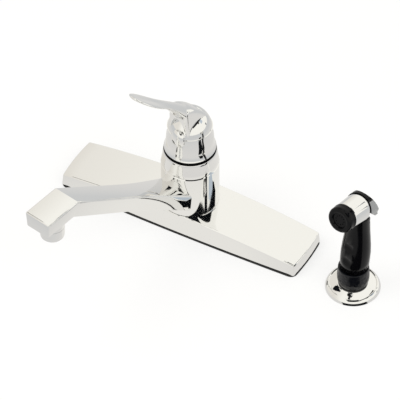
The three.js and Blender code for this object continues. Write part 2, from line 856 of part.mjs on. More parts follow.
function buildSpout() {
  for (const [k, name] of ['lower', 'upper'].entries()) {
    piece(object, `spout_o_ring_${name}`, oRing(oRingHeights[k]), rubber);
  }
  piece(object, 'spout_bearing_ring', bearingRing(), whitePlastic);
  const turning = group(object, 0, 0, 0, -spoutTurn);
  piece(turning, 'spout', spout(), chrome);
  const outlet = group(turning, 0, -spoutReach, tipUnderside - aeratorBossHeight);
  piece(outlet, 'aerator_housing', aeratorHousing(), chrome);
  piece(outlet, 'aerator_screen', aeratorScreen(), steel).position.z = aeratorScreenHeight - aeratorHeight;
  piece(outlet, 'aerator_washer', aeratorWasher(), rubber).position.z = aeratorThreadHeight + seatGap;
}

// ---------- bonnet and handle, modelled on the lever's pivot ----------

const bonnetDome = Math.hypot(bonnetTopRadius, bonnetTop - pivotHeight);
const handleClear = bonnetDome + runGap;

// Points of an arc about the pivot, from one radius in to another.
function domeArc(dome, fromRadius, toRadius, steps) {
  const points = [];
  for (let k = 0; k <= steps; k++) {
    const r = mix(fromRadius, toRadius, k / steps);
    points.push([r, Math.sqrt(dome * dome - r * r)]);
  }
  return points;
}

function bonnet() {
  const bottom = hubTop + seatGap - pivotHeight;
  const inner = bonnetDome - bonnetWall;
  const threadTop = bottom + bonnetThreadHeight;
  return turned([
    [columnNeckRadius + threadGap, bottom],
    [bonnetBottomRadius - 0.6, bottom],
    [bonnetBottomRadius, bottom + 0.8],
    [mix(bonnetBottomRadius, bonnetTopRadius, 0.42), mix(bottom, bonnetTop - pivotHeight, 0.5)],
    ...domeArc(bonnetDome, bonnetTopRadius, bonnetMouthRadius, 4),
    ...domeArc(inner, bonnetMouthRadius, columnNeckRadius + 1.4, 3),
    [columnNeckRadius + threadGap, threadTop],
  ], fineSegments);
}

const leverRoot = leverAxisHeight - pivotHeight;

// The handle's dome from its lower lip to its crown, grown inwards by the inset.
function domeProfile(inset) {
  const lip = Math.sqrt(handleClear ** 2 - bonnetTopRadius ** 2);
  const shoulder = handleShoulderRadius - inset;
  const crown = handleTop - pivotHeight - inset;
  const points = [
    [bonnetTopRadius + 0.1 - inset, lip],
    [bonnetTopRadius - 1 - inset, lip + 2.2],
    [shoulder + 0.5, lip + 6.5],
    [shoulder, lip + 15],
    [shoulder - 1.9, lip + 21.5],
  ];
  const [r, z] = points.at(-1);
  for (let k = 1; k <= 5; k++) {
    const angle = (k / 5) * (Math.PI / 2);
    points.push([r * Math.cos(angle), z + (crown - z) * Math.sin(angle)]);
  }
  return points;
}

// The cap over the dome and the lever's band across it, with an arch left open at the front.
function handleCap() {
  const edge = capEdgeHeight - pivotHeight;
  const reach = 2 * handleShoulderRadius;
  const above = cylinder(reach, edge, handleTop);
  const dome = (grown) => turned([
    [0, 0],
    [domeProfile(-grown)[0][0], 0],
    ...domeProfile(-grown),
  ], fineSegments);
  const half = [
    [bandBackHalfWidth, reach],
    [bandBackHalfWidth, 0],
    [bandFrontHalfWidth, -handleShoulderRadius],
  ];
  const mirrored = half.map(([x, y]) => [-x, y]).reverse();
  const outline = new THREE.Shape([...half, ...mirrored].map(([x, y]) => new THREE.Vector2(x, y)));
  const band = solid(new THREE.ExtrudeGeometry(outline, { depth: handleTop, bevelEnabled: false }));
  const arch = new THREE.CylinderGeometry(archHalfWidth, archHalfWidth, reach, middleSegments);
  arch.scale(1, 1, archHeight / archHalfWidth);
  arch.translate(0, -reach / 2, edge);
  const cap = join(dome(handleLayer), dome(2 * handleLayer).intersect(band)).intersect(above);
  return cut(cap, solid(arch));
}

// A squarish oval across the lever, hollowed above by the dish.
function bladeSection(middle, up, width, depth, dish) {
  const count = 16;
  const swell = (value) => Math.sign(value) * Math.abs(value) ** 0.8;
  const section = [];
  for (let k = 0; k < count; k++) {
    const angle = (k / count) * 2 * Math.PI;
    const x = swell(Math.cos(angle)) * width / 2;
    const level = swell(Math.sin(angle)) * depth / 2;
    const hollow = level > 0 ? dish * (1 - (2 * x / width) ** 2) : 0;
    section.push(middle.clone().addScaledVector(up, level - hollow).setX(x));
  }
  return section;
}

// The lever along its rise (run, in mm from the axis): a deep root, a slim neck, a wide paddle.
function leverBlade() {
  const along = new THREE.Vector3(0, -Math.cos(leverRise), Math.sin(leverRise));
  const up = new THREE.Vector3(0, Math.sin(leverRise), Math.cos(leverRise));
  const length = leverReach / Math.cos(leverRise);
  const stations = [0, 0.06, 0.14, 0.28, 0.42, 0.52, 0.62, 0.72, 0.82, 0.9, 0.96, 0.99, 1];
  const sections = stations.map((t) => {
    const run = mix(-leverBack, length, t);
    const rootward = 1 - smoothStep(14, 50, run);
    const paddle = smoothStep(48, 84, run);
    const tip = Math.sqrt(Math.max(0.02, 1 - Math.max(0, (t - 0.8) / 0.2) ** 2.4));
    const heel = Math.sqrt(Math.max(0.4, smoothStep(-0.16, 0.2, t)));
    const sink = 3 * (1 - smoothStep(-leverBack, 0, run)) + 4.8 * rootward ** 2;
    const bladeWidth = mix(leverNeckWidth, leverPaddleWidth, paddle);
    const bladeDepth = mix(leverNeckDepth, leverTipDepth, smoothStep(30, 70, run));
    const width = mix(bladeWidth, leverRootWidth, rootward) * tip * heel;
    const depth = mix(bladeDepth, leverRootDepth, rootward ** 2) * mix(1, tip, 0.5);
    const dish = leverDish * smoothStep(60, 75, run) * (1 - smoothStep(100, 114, run));
    const middle = along.clone().multiplyScalar(run).addScaledVector(up, -sink);
    middle.z += leverRoot;
    return bladeSection(middle, up, width, depth, dish);
  });
  return lofted(sections);
}

// The rounded tongue where the lever's root runs down the front of the dome.
function leverTongue() {
  const tongue = new THREE.SphereGeometry(1, 16, 8);
  const [halfWidth, halfDepth, halfHeight] = tongueRadii;
  tongue.scale(halfWidth, halfDepth, halfHeight);
  tongue.rotateX(-0.12);
  tongue.translate(0, -handleShoulderRadius + 3.4, setScrewHeight + 4 - pivotHeight);
  return solid(tongue);
}

function handle() {
  const inside = domeProfile(handleWall);
  const outer = turned([[0, domeProfile(0)[0][1]], ...domeProfile(0)], fineSegments);
  const inner = turned([[0, -5], [inside[0][0], -5], ...inside], middleSegments);
  const clear = turned([
    [0, -5],
    [handleClear, -5],
    ...domeArc(handleClear, bonnetTopRadius + 1.5, 0, 6),
  ], fineSegments);
  const stemHole = stemSide + 2 * seatGap;
  const socketBlock = placed(cylinder(handleSocketRadius, handleClear - 6, leverRoot - 4), 0, 0, 0, stemLean);
  const socket = placed(box(stemHole, stemHole, 2 * (stemLength + seatGap)), 0, 0, 0, stemLean);
  const forward = (radius, to) => placed(rodAlongY(radius, -to, 0), 0, 0, setScrewHeight - pivotHeight);
  const screwBoss = forward(setScrewRadius + setScrewBossWall, handleShoulderRadius - over);
  const screwHole = forward(setScrewRadius + threadGap, 2 * handleShoulderRadius);
  const shell = cut(join(outer, handleCap(), leverBlade(), leverTongue()), inner);
  const blocks = join(socketBlock, screwBoss).intersect(join(inner, outer));
  return cut(join(shell, blocks), clear, socket, screwHole);
}

function setScrew() {
  const tip = stemSide / 2 / Math.cos(stemLean) + setScrewRadius * Math.tan(stemLean) + seatGap;
  return rodAlongY(setScrewRadius, -tip - setScrewLength, -tip);
}

function buildHandle() {
  const pivot = group(object, 0, 0, pivotHeight);
  piece(pivot, 'bonnet', bonnet(), chrome);
  const turning = group(object, 0, 0, pivotHeight, -handleTurn);
  piece(object, 'cartridge_body', cartridgeBody(), whitePlastic);
  piece(object, 'fixed_ceramic_disc', fixedDisc(), ceramic);
  piece(object, 'cartridge_retaining_nut', retainingNut(), brass);
  piece(turning, 'stem_carrier', stemCarrier(), whitePlastic);
  piece(turning, 'stem_pin', stemPin(), steel);
  const disc = piece(turning, 'moving_ceramic_disc', movingDisc(), ceramic);
  disc.position.y = stemTailLength * Math.sin(stemLean);
  piece(turning, 'cartridge_stem', stem(), brass);
  piece(turning, 'handle', handle(), chrome);
  const screw = piece(turning, 'handle_set_screw', setScrew(), steel);
  screw.position.set(0, -Math.tan(stemLean) * (setScrewHeight - pivotHeight), setScrewHeight - pivotHeight);
}

// ---------- side spray holder ----------

function sprayFlange() {
  const hole = holderShankRadius + seatGap;
  return turned([
    [hole, 0],
    [hole + 3, 0],
    [hole + 3, flangeHollow],
    [flangeRimRadius - 1, flangeHollow],
    [flangeRimRadius, 0],
    [flangeRadius, 0],
    [flangeRadius, 0.2 * flangeRimHeight],
    [flangeRadius - 0.7, 0.53 * flangeRimHeight],
    [flangeRadius - 2.2, 0.87 * flangeRimHeight],
    [flangeRimRadius, flangeRimHeight],
    [flangeRimRadius - 0.8, flangeRimHeight - 0.9],
    [mix(flangeRimRadius, cupRadius, 0.6), mix(flangeRimHeight, flangeTop, 0.45)],
    [cupRadius, flangeTop],
    [hole, flangeTop],
  ], fineSegments);
}

function sprayHolder() {
  const shoulder = flangeTop + seatGap;
  return turned([
    [holderBoreRadius, -holderDrop],
    [holderShankRadius - chamfer, -holderDrop],
    [holderShankRadius, -holderDrop + chamfer],
    [holderShankRadius, shoulder],
    [cupRadius - 1.6, shoulder],
    [cupRadius - 0.3, mix(shoulder, cupTop, 0.2)],
    [cupRadius, mix(shoulder, cupTop, 0.42)],
    [mix(cupRimRadius, cupRadius, 0.6), mix(shoulder, cupTop, 0.75)],
    [cupRimRadius, cupTop],
    [plugRadius + runGap, cupTop],
    [plugRadius + runGap, plugTaperHeight],
    [cupThroatRadius, cupThroatHeight],
    [holderBoreRadius, cupThroatHeight - 4],
  ], fineSegments);
}

// ---------- side spray hand piece ----------

// How far the grip's centre line lies behind the holder's axis.
function gripBackAt(z) {
  return gripLean * smoothStep(cupTop - 10, gripNeckHeight, z) ** 0.6;
}

function gripRadiusAt(z) {
  const swell = smoothStep(cupTop, gripBellyHeight, z);
  if (z < gripBellyHeight) return mix(gripFootRadius, gripBellyRadius, swell);
  return mix(gripBellyRadius, gripNeckRadius, smoothStep(gripBellyHeight, gripNeckHeight, z));
}

function circleAt(radius, y, z) {
  const points = [];
  for (let k = 0; k < middleSegments; k++) {
    const angle = (k / middleSegments) * 2 * Math.PI;
    points.push(new THREE.Vector3(radius * Math.cos(angle), y + radius * Math.sin(angle), z));
  }
  return points;
}

// The round handle between two heights, grown outwards all round.
function grip(grown, bottom, top) {
  const levels = 9;
  const sections = [];
  for (let k = 0; k <= levels; k++) {
    const z = mix(bottom, top, k / levels);
    sections.push(circleAt(gripRadiusAt(z) + grown, gripBackAt(z), z));
  }
  return lofted(sections);
}

// From the head's own frame, with the lever pin as origin and the nozzle along -Y,
// to the frame of the spray's holder.
function onHead(shape) {
  return placed(shape, 0, headSetback, headHeight, -headTilt);
}

function alongHead(radius, from, to, segments = coarseSegments) {
  return onHead(rodAlongY(radius, from, to, segments));
}

const collarFront = nozzleReach - nozzleRingLength; // forward of the lever pin
const collarBore = collarRadius - collarWall;
const barrelRadius = collarBore - seatGap;
const barrelNeckRadius = nozzleRadius - nozzleWall - threadGap;
const faceBack = nozzleReach - nozzleLipThickness - seatGap - sprayFaceThickness;
const barrelNeckEnd = faceBack - faceWasherThickness - 2 * seatGap;
const earInside = barrelTailWidth / 2 + seatGap;
const earOutside = earInside + leverEarThickness;
const springBottom = chamberBottom + seatGap;
const springTop = headHeight - plungerLength - seatGap;
const barrelRear = earInside - earNotch; // the round barrel ends where the lever's ears begin

// The grip without the room that the lever, its ears and its thumb end need.
function sprayGrip(foot) {
  const wide = 60; // wider than the grip, as a cutting block
  const rearSpace = cut(
    placed(box(wide, 40, 40), 0, 20 - barrelRear, 20 - leverEarRadius - 4),
    placed(box(barrelTailWidth, 20, wide), 0, barrelTailBack - 10, 0),
  );
  const recessTop = -thumbDrop - thumbRecessDrop;
  const thumbRecess = placed(box(wide, 40, wide), 0, 20 + thumbRecessBack, recessTop + wide / 2);
  const toMiddle = 20 / Math.SQRT2; // from the bevel's face to the middle of its cutting block
  const bevelDepth = toMiddle - thumbRecessDrop / 2;
  const bevel = placed(box(wide, 40, 40), 0, thumbRecessBack - 2 + toMiddle, bevelDepth - 6.5, Math.PI / 4);
  const overhead = placed(box(wide, wide, 40), 0, 0, 20 + barrelRadius - over);
  return cut(foot, ...[rearSpace, thumbRecess, bevel, overhead].map(onHead));
}

// Water rises in the grip, crosses to the plunger's bore and leaves above it for the barrel.
function sprayPassages() {
  const plungerAt = headSetback + plungerOffset;
  const across = (from, z) => placed(rodAlongY(passageRadius, from, plungerAt, 10), 0, 0, z);
  return [
    placed(cylinder(waterBoreRadius, spigotBottom - over, chamberBottom + 3), 0, 1.4, 0),
    placed(cylinder(plungerRadius + seatGap, chamberBottom, headHeight + 20), 0, plungerAt, 0),
    across(0, chamberBottom + passageRadius - seatGap),
    across(-4, headHeight - upperPassageDrop),
    onHead(placed(cylinder(passageRadius, -22, 0, 10), 0, -earInside - 4, 0)),
    alongHead(barrelBoreRadius, -collarFront - 10, -earInside - 1),
    onHead(rodAlongX(leverPinRadius + seatGap, -20, 20)),
  ];
}

function sprayBody() {
  const foot = join(
    turned([
      [0, spigotBottom],
      [spigotRadius, spigotBottom],
      [spigotRadius, plugBottom],
      [cupThroatRadius - runGap - seatGap, plugBottom],
      [plugRadius, plugTaperHeight + seatGap],
      [plugRadius, cupTop + over],
      [0, cupTop + over],
    ]),
    grip(0, cupTop + seatGap, headHeight + collarRadius / 2),
  );
  const barrel = join(
    alongHead(barrelRadius, -collarFront + 0.1, -barrelRear, fineSegments),
    alongHead(barrelNeckRadius, -barrelNeckEnd, -collarFront + over),
  );
  const tail = onHead(placed(box(barrelTailWidth, 10, 22), 0, barrelTailBack - 5, -3));
  const tailLimit = alongHead(barrelRadius, -collarFront, 20, fineSegments);
  return cut(join(sprayGrip(foot), barrel, tail.intersect(tailLimit)), ...sprayPassages());
}

function sprayCollar() {
  const length = collarFront + collarBack;
  const sleeve = turned([
    [collarBore, 0],
    [collarFrontRadius - chamfer / 2, 0],
    [collarFrontRadius, chamfer / 2],
    [collarRadius, collarFront],
    [collarRadius, length - chamfer],
    [collarRadius - chamfer, length],
    [collarBore, length],
  ], fineSegments);
  const laid = placed(sleeve, 0, -collarFront, 0, -Math.PI / 2);
  const notch = placed(grip(seatGap, gripNeckHeight, headHeight - over), 0, -headSetback, -headHeight);
  return cut(laid, placed(notch, 0, 0, 0, headTilt), rodAlongX(leverPinRadius + seatGap, -20, 20));
}

// A black cap screwed on the barrel's neck; its front lip holds the spray face.
function nozzleRing() {
  const length = nozzleRingLength - seatGap;
  const bore = nozzleRadius - nozzleWall;
  const bead = nozzleRadius + 0.3; // at its rear edge
  const shape = turned([
    [bore, 0],
    [bead, 0],
    [bead, 2],
    [nozzleRadius, length - 2.4],
    [nozzleRadius - 1.4, length - 0.5],
    [nozzleRadius - 2.8, length],
    [nozzleLipRadius + 0.8, length],
    [nozzleLipRadius, length - nozzleLipThickness],
    [bore, length - nozzleLipThickness],
  ], fineSegments);
  return placed(shape, 0, 0, 0, Math.PI / 2);
}

function sprayFace() {
  const disc = cylinder(nozzleRadius - nozzleWall - seatGap, 0, sprayFaceThickness);
  const hole = placed(cylinder(sprayHoleRadius, -over, sprayFaceThickness + over, 6), sprayHoleCircle, 0, 0);
  const holes = [];
  for (let k = 0; k < sprayHoleCount; k++) {
    holes.push(placed(hole, 0, 0, 0, 0, 0, (k / sprayHoleCount) * 2 * Math.PI));
  }
  return placed(cut(disc, ...holes), 0, 0, 0, Math.PI / 2);
}

function faceWasher() {
  const outer = nozzleRadius - nozzleWall - seatGap;
  return placed(ring(barrelBoreRadius + 1, outer, 0, faceWasherThickness), 0, 0, 0, Math.PI / 2);
}

// Extrudes an outline drawn in the head's side view ([behind, up]) across the head.
function sideProfile(points, halfWidth) {
  const shape = new THREE.Shape(points.map(([b, u]) => new THREE.Vector2(b, u)));
  const plate = new THREE.ExtrudeGeometry(shape, { depth: 2 * halfWidth, bevelEnabled: false });
  plate.translate(0, 0, -halfWidth);
  plate.rotateY(Math.PI / 2);
  plate.rotateX(Math.PI / 2);
  return solid(plate);
}

// The hood's outline from behind: half a circle above, a rounded paddle below.
function hoodFront(inset) {
  const radius = leverHoodRadius - inset;
  const low = thumbHalfWidth - inset;
  const corner = 2; // cut off the two lower corners
  const waist = -thumbDrop / 3; // where the hood's curve bends towards the thumb
  const outline = new THREE.Shape();
  outline.absarc(0, 0, radius, 0, Math.PI, false);
  outline.bezierCurveTo(-radius, waist, -low, waist, -low, -thumbDrop + corner);
  outline.lineTo(-low + corner, -thumbDrop);
  outline.lineTo(low - corner, -thumbDrop);
  outline.lineTo(low, -thumbDrop + corner);
  outline.bezierCurveTo(low, waist, radius, waist, radius, 0);
  const block = new THREE.ExtrudeGeometry(outline, { depth: 60, bevelEnabled: false, curveSegments: 10 });
  block.rotateX(Math.PI / 2);
  block.translate(0, 40, 0);
  return solid(block);
}

// Side view of the hood: from its front edge at the collar over the top and down the thumb side.
function hoodSide(inset) {
  const front = collarBack + runGap;
  const swung = thumbDrop * Math.tan(leverSwing); // how far the thumb end moves in when pressed
  return [
    [front, 0],
    [front, leverHoodRadius - inset],
    [front + 4, leverHoodRadius - 0.2 - inset],
    [leverHoodBack - 6 - inset / 2, leverHoodRadius - 3.6 - inset],
    [leverHoodBack - 3.2 - inset, leverHoodRadius - 9 - inset / 2],
    [leverHoodBack - inset, 0],
    [mix(leverHoodBack, thumbBack, 0.5) - inset, -thumbDrop / 2],
    [thumbBack - inset, -thumbDrop],
    [thumbBack - inset - leverWall, -thumbDrop],
    [front + swung + 3.5, -thumbDrop / 2 + 1],
  ];
}

// An ear beside the barrel's tail, from the lever pin back to the hood.
function leverEar(x) {
  const reach = leverHoodBack - 6;
  const middle = leverEarThickness / 2;
  const raised = box(leverEarThickness, reach - 3, 2 * leverEarRadius); // its rear stands above the pin
  const ear = join(
    rodAlongX(leverEarRadius, 0, leverEarThickness, 20),
    placed(box(leverEarThickness, reach, 2 * leverEarRadius), middle, reach / 2, 0),
    placed(raised, middle, reach / 2 + 1.5, 2),
  );
  return placed(ear, x, 0, 0);
}

// The rod that presses the plunger, and the web that ties both ears to the hood.
function leverBar() {
  const rod = placed(
    rodAlongX(leverBarRadius, -earOutside, earOutside),
    0,
    plungerOffset * Math.cos(headTilt),
    plungerOffset * Math.sin(headTilt) + leverBarRadius + runGap,
  );
  const web = placed(box(2 * earOutside, leverWall, 2 * leverEarRadius), 0, leverHoodBack - 6, 2.2);
  return join(rod, web);
}

function sprayLever() {
  const outer = sideProfile(hoodSide(0), 2 * leverHoodRadius).intersect(hoodFront(0));
  const hollowSide = [
    [-leverEarRadius, -leverHoodRadius],
    [-leverEarRadius, leverHoodRadius - leverWall],
    ...hoodSide(leverWall).slice(2, 8),
    [thumbBack - leverWall, -leverHoodRadius],
  ];
  const hollow = sideProfile(hollowSide, 2 * leverHoodRadius).intersect(hoodFront(leverWall));
  const pinHole = rodAlongX(leverPinRadius + seatGap, -leverHoodRadius, leverHoodRadius);
  return cut(join(cut(outer, hollow), leverEar(-earOutside), leverEar(earInside), leverBar()), pinHole);
}

function leverPin() {
  const half = collarRadius - 0.4;
  return rodAlongX(leverPinRadius, -half, half);
}

function plunger() {
  const stemRadius = plungerRadius - 1;
  return turned([
    [0, 0],
    [plungerRadius, 0],
    [plungerRadius, 0.5 * plungerLength],
    [stemRadius, 0.56 * plungerLength],
    [stemRadius, plungerLength],
    [0, plungerLength],
  ]);
}

function plungerSpring() {
  const height = springTop - springBottom - 2 * springWireRadius;
  const reach = springRadius - springWireRadius;
  const coil = new THREE.Curve();
  coil.getPoint = (t) => {
    const angle = t * springTurns * 2 * Math.PI;
    return new THREE.Vector3(reach * Math.cos(angle), reach * Math.sin(angle), t * height);
  };
  const wire = new THREE.Shape();
  wire.absarc(0, 0, springWireRadius, 0, 2 * Math.PI, false);
  const drawn = new THREE.ExtrudeGeometry(wire, {
    extrudePath: coil,
    steps: 8 * springTurns,
    curveSegments: 3,
    bevelEnabled: false,
  });
  return placed(solid(drawn), 0, 0, springBottom + springWireRadius);
}

// Takes the hose's thread; the hose itself is not part of the model.
function hoseCoupling() {
  const top = plugBottom - seatGap;
  return turned([
    [waterBoreRadius, couplingBottom],
    [couplingRadius - chamfer, couplingBottom],
    [couplingRadius, couplingBottom + chamfer],
    [couplingRadius, top],
    [spigotRadius + threadGap, top],
    [spigotRadius + threadGap, couplingFloor],
    [waterBoreRadius, couplingFloor],
  ]);
}

function couplingWasher() {
  return ring(waterBoreRadius + 0.2, spigotRadius, 0, spigotBottom - couplingFloor - 2 * seatGap);
}

function buildSpray() {
  const deck = group(object, sprayX, sprayY, 0, sprayTurn);
  piece(deck, 'spray_flange', sprayFlange(), chrome);
  piece(deck, 'spray_holder', sprayHolder(), blackPlastic);
  const washerShape = lockWasher(holderNutAcross / 2, holderShankRadius);
  const washer = piece(deck, 'spray_holder_washer', washerShape, steel);
  washer.position.z = -deckThickness;
  const nut = piece(deck, 'spray_holder_nut', lockNut(holderNutAcross, holderShankRadius), blackPlastic);
  nut.position.z = -deckThickness - washerThickness - seatGap;
  piece(deck, 'hose_coupling', hoseCoupling(), brass);
  piece(deck, 'coupling_washer', couplingWasher(), rubber).position.z = couplingFloor + seatGap;
  piece(deck, 'spray_body', sprayBody(), blackPlastic);
  const atPlunger = group(deck, 0, headSetback + plungerOffset, 0);
  const plungerBottom = headHeight - plungerLength;
  piece(atPlunger, 'valve_plunger', plunger(), whitePlastic).position.z = plungerBottom;
  piece(atPlunger, 'plunger_spring', plungerSpring(), steel);
  const head = group(deck, 0, headSetback, headHeight);
  head.rotation.x = -headTilt;
  piece(head, 'spray_collar', sprayCollar(), chrome);
  piece(head, 'nozzle_ring', nozzleRing(), blackPlastic).position.y = -collarFront - seatGap;
  piece(head, 'spray_face', sprayFace(), blackPlastic).position.y = -faceBack;
  piece(head, 'face_washer', faceWasher(), rubber).position.y = -faceBack + seatGap + faceWasherThickness;
  piece(head, 'spray_lever', sprayLever(), greyPlastic);
  piece(head, 'lever_pin', leverPin(), steel);
}

function buildPlate() {
  piece(object, 'base_gasket', baseGasket(), rubber);
  piece(object, 'deck_plate', deckPlate(), chrome);
}

buildPlate();
buildValve();
buildSpout();
buildHandle();
buildSpray();

export default object;
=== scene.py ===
import bpy
import json
import math
import bmesh
from mathutils import Matrix, Vector


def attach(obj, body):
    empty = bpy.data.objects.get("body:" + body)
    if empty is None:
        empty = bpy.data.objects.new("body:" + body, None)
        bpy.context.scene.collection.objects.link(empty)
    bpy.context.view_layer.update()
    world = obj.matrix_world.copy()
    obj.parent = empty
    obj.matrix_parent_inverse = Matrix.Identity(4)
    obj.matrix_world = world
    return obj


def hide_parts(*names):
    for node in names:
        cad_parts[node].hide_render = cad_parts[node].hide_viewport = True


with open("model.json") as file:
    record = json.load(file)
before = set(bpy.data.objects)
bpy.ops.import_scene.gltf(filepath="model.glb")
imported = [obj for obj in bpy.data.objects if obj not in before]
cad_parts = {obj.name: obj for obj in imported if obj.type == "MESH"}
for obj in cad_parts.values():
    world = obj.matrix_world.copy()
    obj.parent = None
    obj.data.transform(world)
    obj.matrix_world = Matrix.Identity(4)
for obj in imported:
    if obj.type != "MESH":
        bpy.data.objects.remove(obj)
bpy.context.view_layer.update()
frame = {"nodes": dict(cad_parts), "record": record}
nodes = frame["nodes"]
print("frame loaded:", len(nodes), "nodes")

mm = 0.001
near = 0.02  # mm, points nearer than this are at the same place
weldReach = 0.00001  # m, vertices nearer than this become one
pivotHeight = 79  # mm above the deck, the middle of the ball that the handle turns on


# ---- camera ----

camera = {
    "azimuth": 28.94,  # degrees round from straight in front
    "elevation": 45.78,
    "distance": 4.179,  # long lens, far back, as in a catalogue shot
    "lookRight": 9.55 * mm,  # the point in the middle of the picture, from the spout's axis
    "lookUp": 12.77 * mm,
    "widthSeen": 391 * mm,  # what 400 pixels span at that distance
    "sensor": 36,
    "clip": (0.5, 20),
}


def makeCamera():
    a, e = math.radians(camera["azimuth"]), math.radians(camera["elevation"])
    back = Vector((math.sin(a) * math.cos(e), -math.cos(a) * math.cos(e), math.sin(e)))
    right = Vector((math.cos(a), math.sin(a), 0))
    up = back.cross(right)
    middle = right * camera["lookRight"] + up * camera["lookUp"]
    bpy.ops.object.camera_add(location=middle + back * camera["distance"])
    made = bpy.context.object
    made.rotation_mode = "QUATERNION"
    made.rotation_quaternion = (-back).to_track_quat("-Z", "Y")
    made.data.sensor_width = camera["sensor"]
    made.data.lens = camera["sensor"] * camera["distance"] / camera["widthSeen"]
    made.data.clip_start, made.data.clip_end = camera["clip"]
    bpy.context.scene.camera = made


makeCamera()
print("camera ready")


# ---- materials ----

def linear(hexColour):
    channels = [int(hexColour[i:i + 2], 16) / 255 for i in (1, 3, 5)]
    return [c / 12.92 if c <= 0.04045 else ((c + 0.055) / 1.055) ** 2.4 for c in channels] + [1]


def addNode(tree, kind, settings=None, links=None):
    node = tree.nodes.new(kind)
    for name, value in (settings or {}).items():
        if name in node.inputs:
            node.inputs[name].default_value = value
        else:
            setattr(node, name, value)
    for name, socket in (links or {}).items():
        tree.links.new(socket, node.inputs[name])
    return node


def startMaterial(name, settings):
    made = bpy.data.materials.new(name)
    made.use_nodes = True
    tree = made.node_tree
    shader = tree.nodes["Principled BSDF"]
    for key, value in settings.items():
        shader.inputs[key].default_value = value
    where = addNode(tree, "ShaderNodeTexCoord")
    return made, tree, shader, where.outputs["Object"]


# Bright chrome over nickel on a polished zinc casting: a mirror with a slight swell under it
def chromePlating():
    made, tree, shader, spot = startMaterial("chromePlating", {
        "Base Color": linear("#F3F3F2"), "Metallic": 1, "Roughness": 0.045})
    swell = addNode(tree, "ShaderNodeTexNoise", {"Scale": 55, "Detail": 2}, {"Vector": spot})
    bump = addNode(tree, "ShaderNodeBump", {"Strength": 0.02, "Distance": 0.001},
                   {"Height": swell.outputs["Fac"]})
    tree.links.new(bump.outputs["Normal"], shader.inputs["Normal"])
    return made


# Black ABS moulded in a polished tool: deep gloss, a faint waviness of the mould
def glossBlackAbs():
    made, tree, shader, spot = startMaterial("glossBlackAbs", {
        "Base Color": linear("#060608"), "Roughness": 0.14, "IOR": 1.53, "Specular IOR Level": 0.16})
    swell = addNode(tree, "ShaderNodeTexNoise", {"Scale": 90, "Detail": 2}, {"Vector": spot})
    bump = addNode(tree, "ShaderNodeBump", {"Strength": 0.05, "Distance": 0.0006},
                   {"Height": swell.outputs["Fac"]})
    tree.links.new(bump.outputs["Normal"], shader.inputs["Normal"])
    return made


# Light grey ABS, moulded and lightly polished
def greyAbs():
    made, tree, shader, spot = startMaterial("greyAbs", {
        "Base Color": linear("#86888A"), "Roughness": 0.25, "IOR": 1.53})
    swell = addNode(tree, "ShaderNodeTexNoise", {"Scale": 120, "Detail": 3}, {"Vector": spot})
    bump = addNode(tree, "ShaderNodeBump", {"Strength": 0.05, "Distance": 0.0005},
                   {"Height": swell.outputs["Fac"]})
    tree.links.new(bump.outputs["Normal"], shader.inputs["Normal"])
    return made


# Sand-cast brass, turned where it seals: warm yellow, dull, with a fine cast grain
def castBrass():
    made, tree, shader, spot = startMaterial("castBrass", {"Metallic": 1, "Roughness": 0.38})
    grain = addNode(tree, "ShaderNodeTexNoise", {"Scale": 900, "Detail": 4}, {"Vector": spot})
    tone = addNode(tree, "ShaderNodeMix", {"data_type": "RGBA"}, {"Factor": grain.outputs["Fac"]})
    tone.inputs["A"].default_value = linear("#C9A25A")
    tone.inputs["B"].default_value = linear("#A98443")
    bump = addNode(tree, "ShaderNodeBump", {"Strength": 0.15, "Distance": 0.0002},
                   {"Height": grain.outputs["Fac"]})
    tree.links.new(tone.outputs["Result"], shader.inputs["Base Color"])
    tree.links.new(bump.outputs["Normal"], shader.inputs["Normal"])
    return made


# Drawn copper tube: pinkish and half bright, with a faint unevenness from the drawing
def copperTube():
    made, tree, shader, spot = startMaterial("copperTube", {
        "Base Color": linear("#C07A55"), "Metallic": 1, "Roughness": 0.3})
    stain = addNode(tree, "ShaderNodeTexNoise", {"Scale": 140, "Detail": 3}, {"Vector": spot})
    bump = addNode(tree, "ShaderNodeBump", {"Strength": 0.05, "Distance": 0.0003},
                   {"Height": stain.outputs["Fac"]})
    tree.links.new(bump.outputs["Normal"], shader.inputs["Normal"])
    return made


# Stainless steel, stamped or turned: greyer than chrome, with fine scratches
def stainlessSteel():
    made, tree, shader, spot = startMaterial("stainlessSteel", {
        "Base Color": linear("#BDBEBC"), "Metallic": 1, "Roughness": 0.28})
    scratch = addNode(tree, "ShaderNodeTexNoise", {"Scale": 1800, "Detail": 2}, {"Vector": spot})
    bump = addNode(tree, "ShaderNodeBump", {"Strength": 0.08, "Distance": 0.0001},
                   {"Height": scratch.outputs["Fac"]})
    tree.links.new(bump.outputs["Normal"], shader.inputs["Normal"])
    return made


# Acetal, turned white and faintly waxy
def whiteAcetal():
    made, tree, shader, spot = startMaterial("whiteAcetal", {
        "Base Color": linear("#E9E8E1"), "Roughness": 0.42, "IOR": 1.48})
    grain = addNode(tree, "ShaderNodeTexNoise", {"Scale": 700, "Detail": 2}, {"Vector": spot})
    bump = addNode(tree, "ShaderNodeBump", {"Strength": 0.06, "Distance": 0.0002},
                   {"Height": grain.outputs["Fac"]})
    tree.links.new(bump.outputs["Normal"], shader.inputs["Normal"])
    return made


# Moulded nitrile rubber: matt black with a fine talc-like grain
def nitrileRubber():
    made, tree, shader, spot = startMaterial("nitrileRubber", {
        "Base Color": linear("#1B1B1C"), "Roughness": 0.72, "IOR": 1.5})
    grain = addNode(tree, "ShaderNodeTexNoise", {"Scale": 1400, "Detail": 3}, {"Vector": spot})
    bump = addNode(tree, "ShaderNodeBump", {"Strength": 0.2, "Distance": 0.0002},
                   {"Height": grain.outputs["Fac"]})
    tree.links.new(bump.outputs["Normal"], shader.inputs["Normal"])
    return made


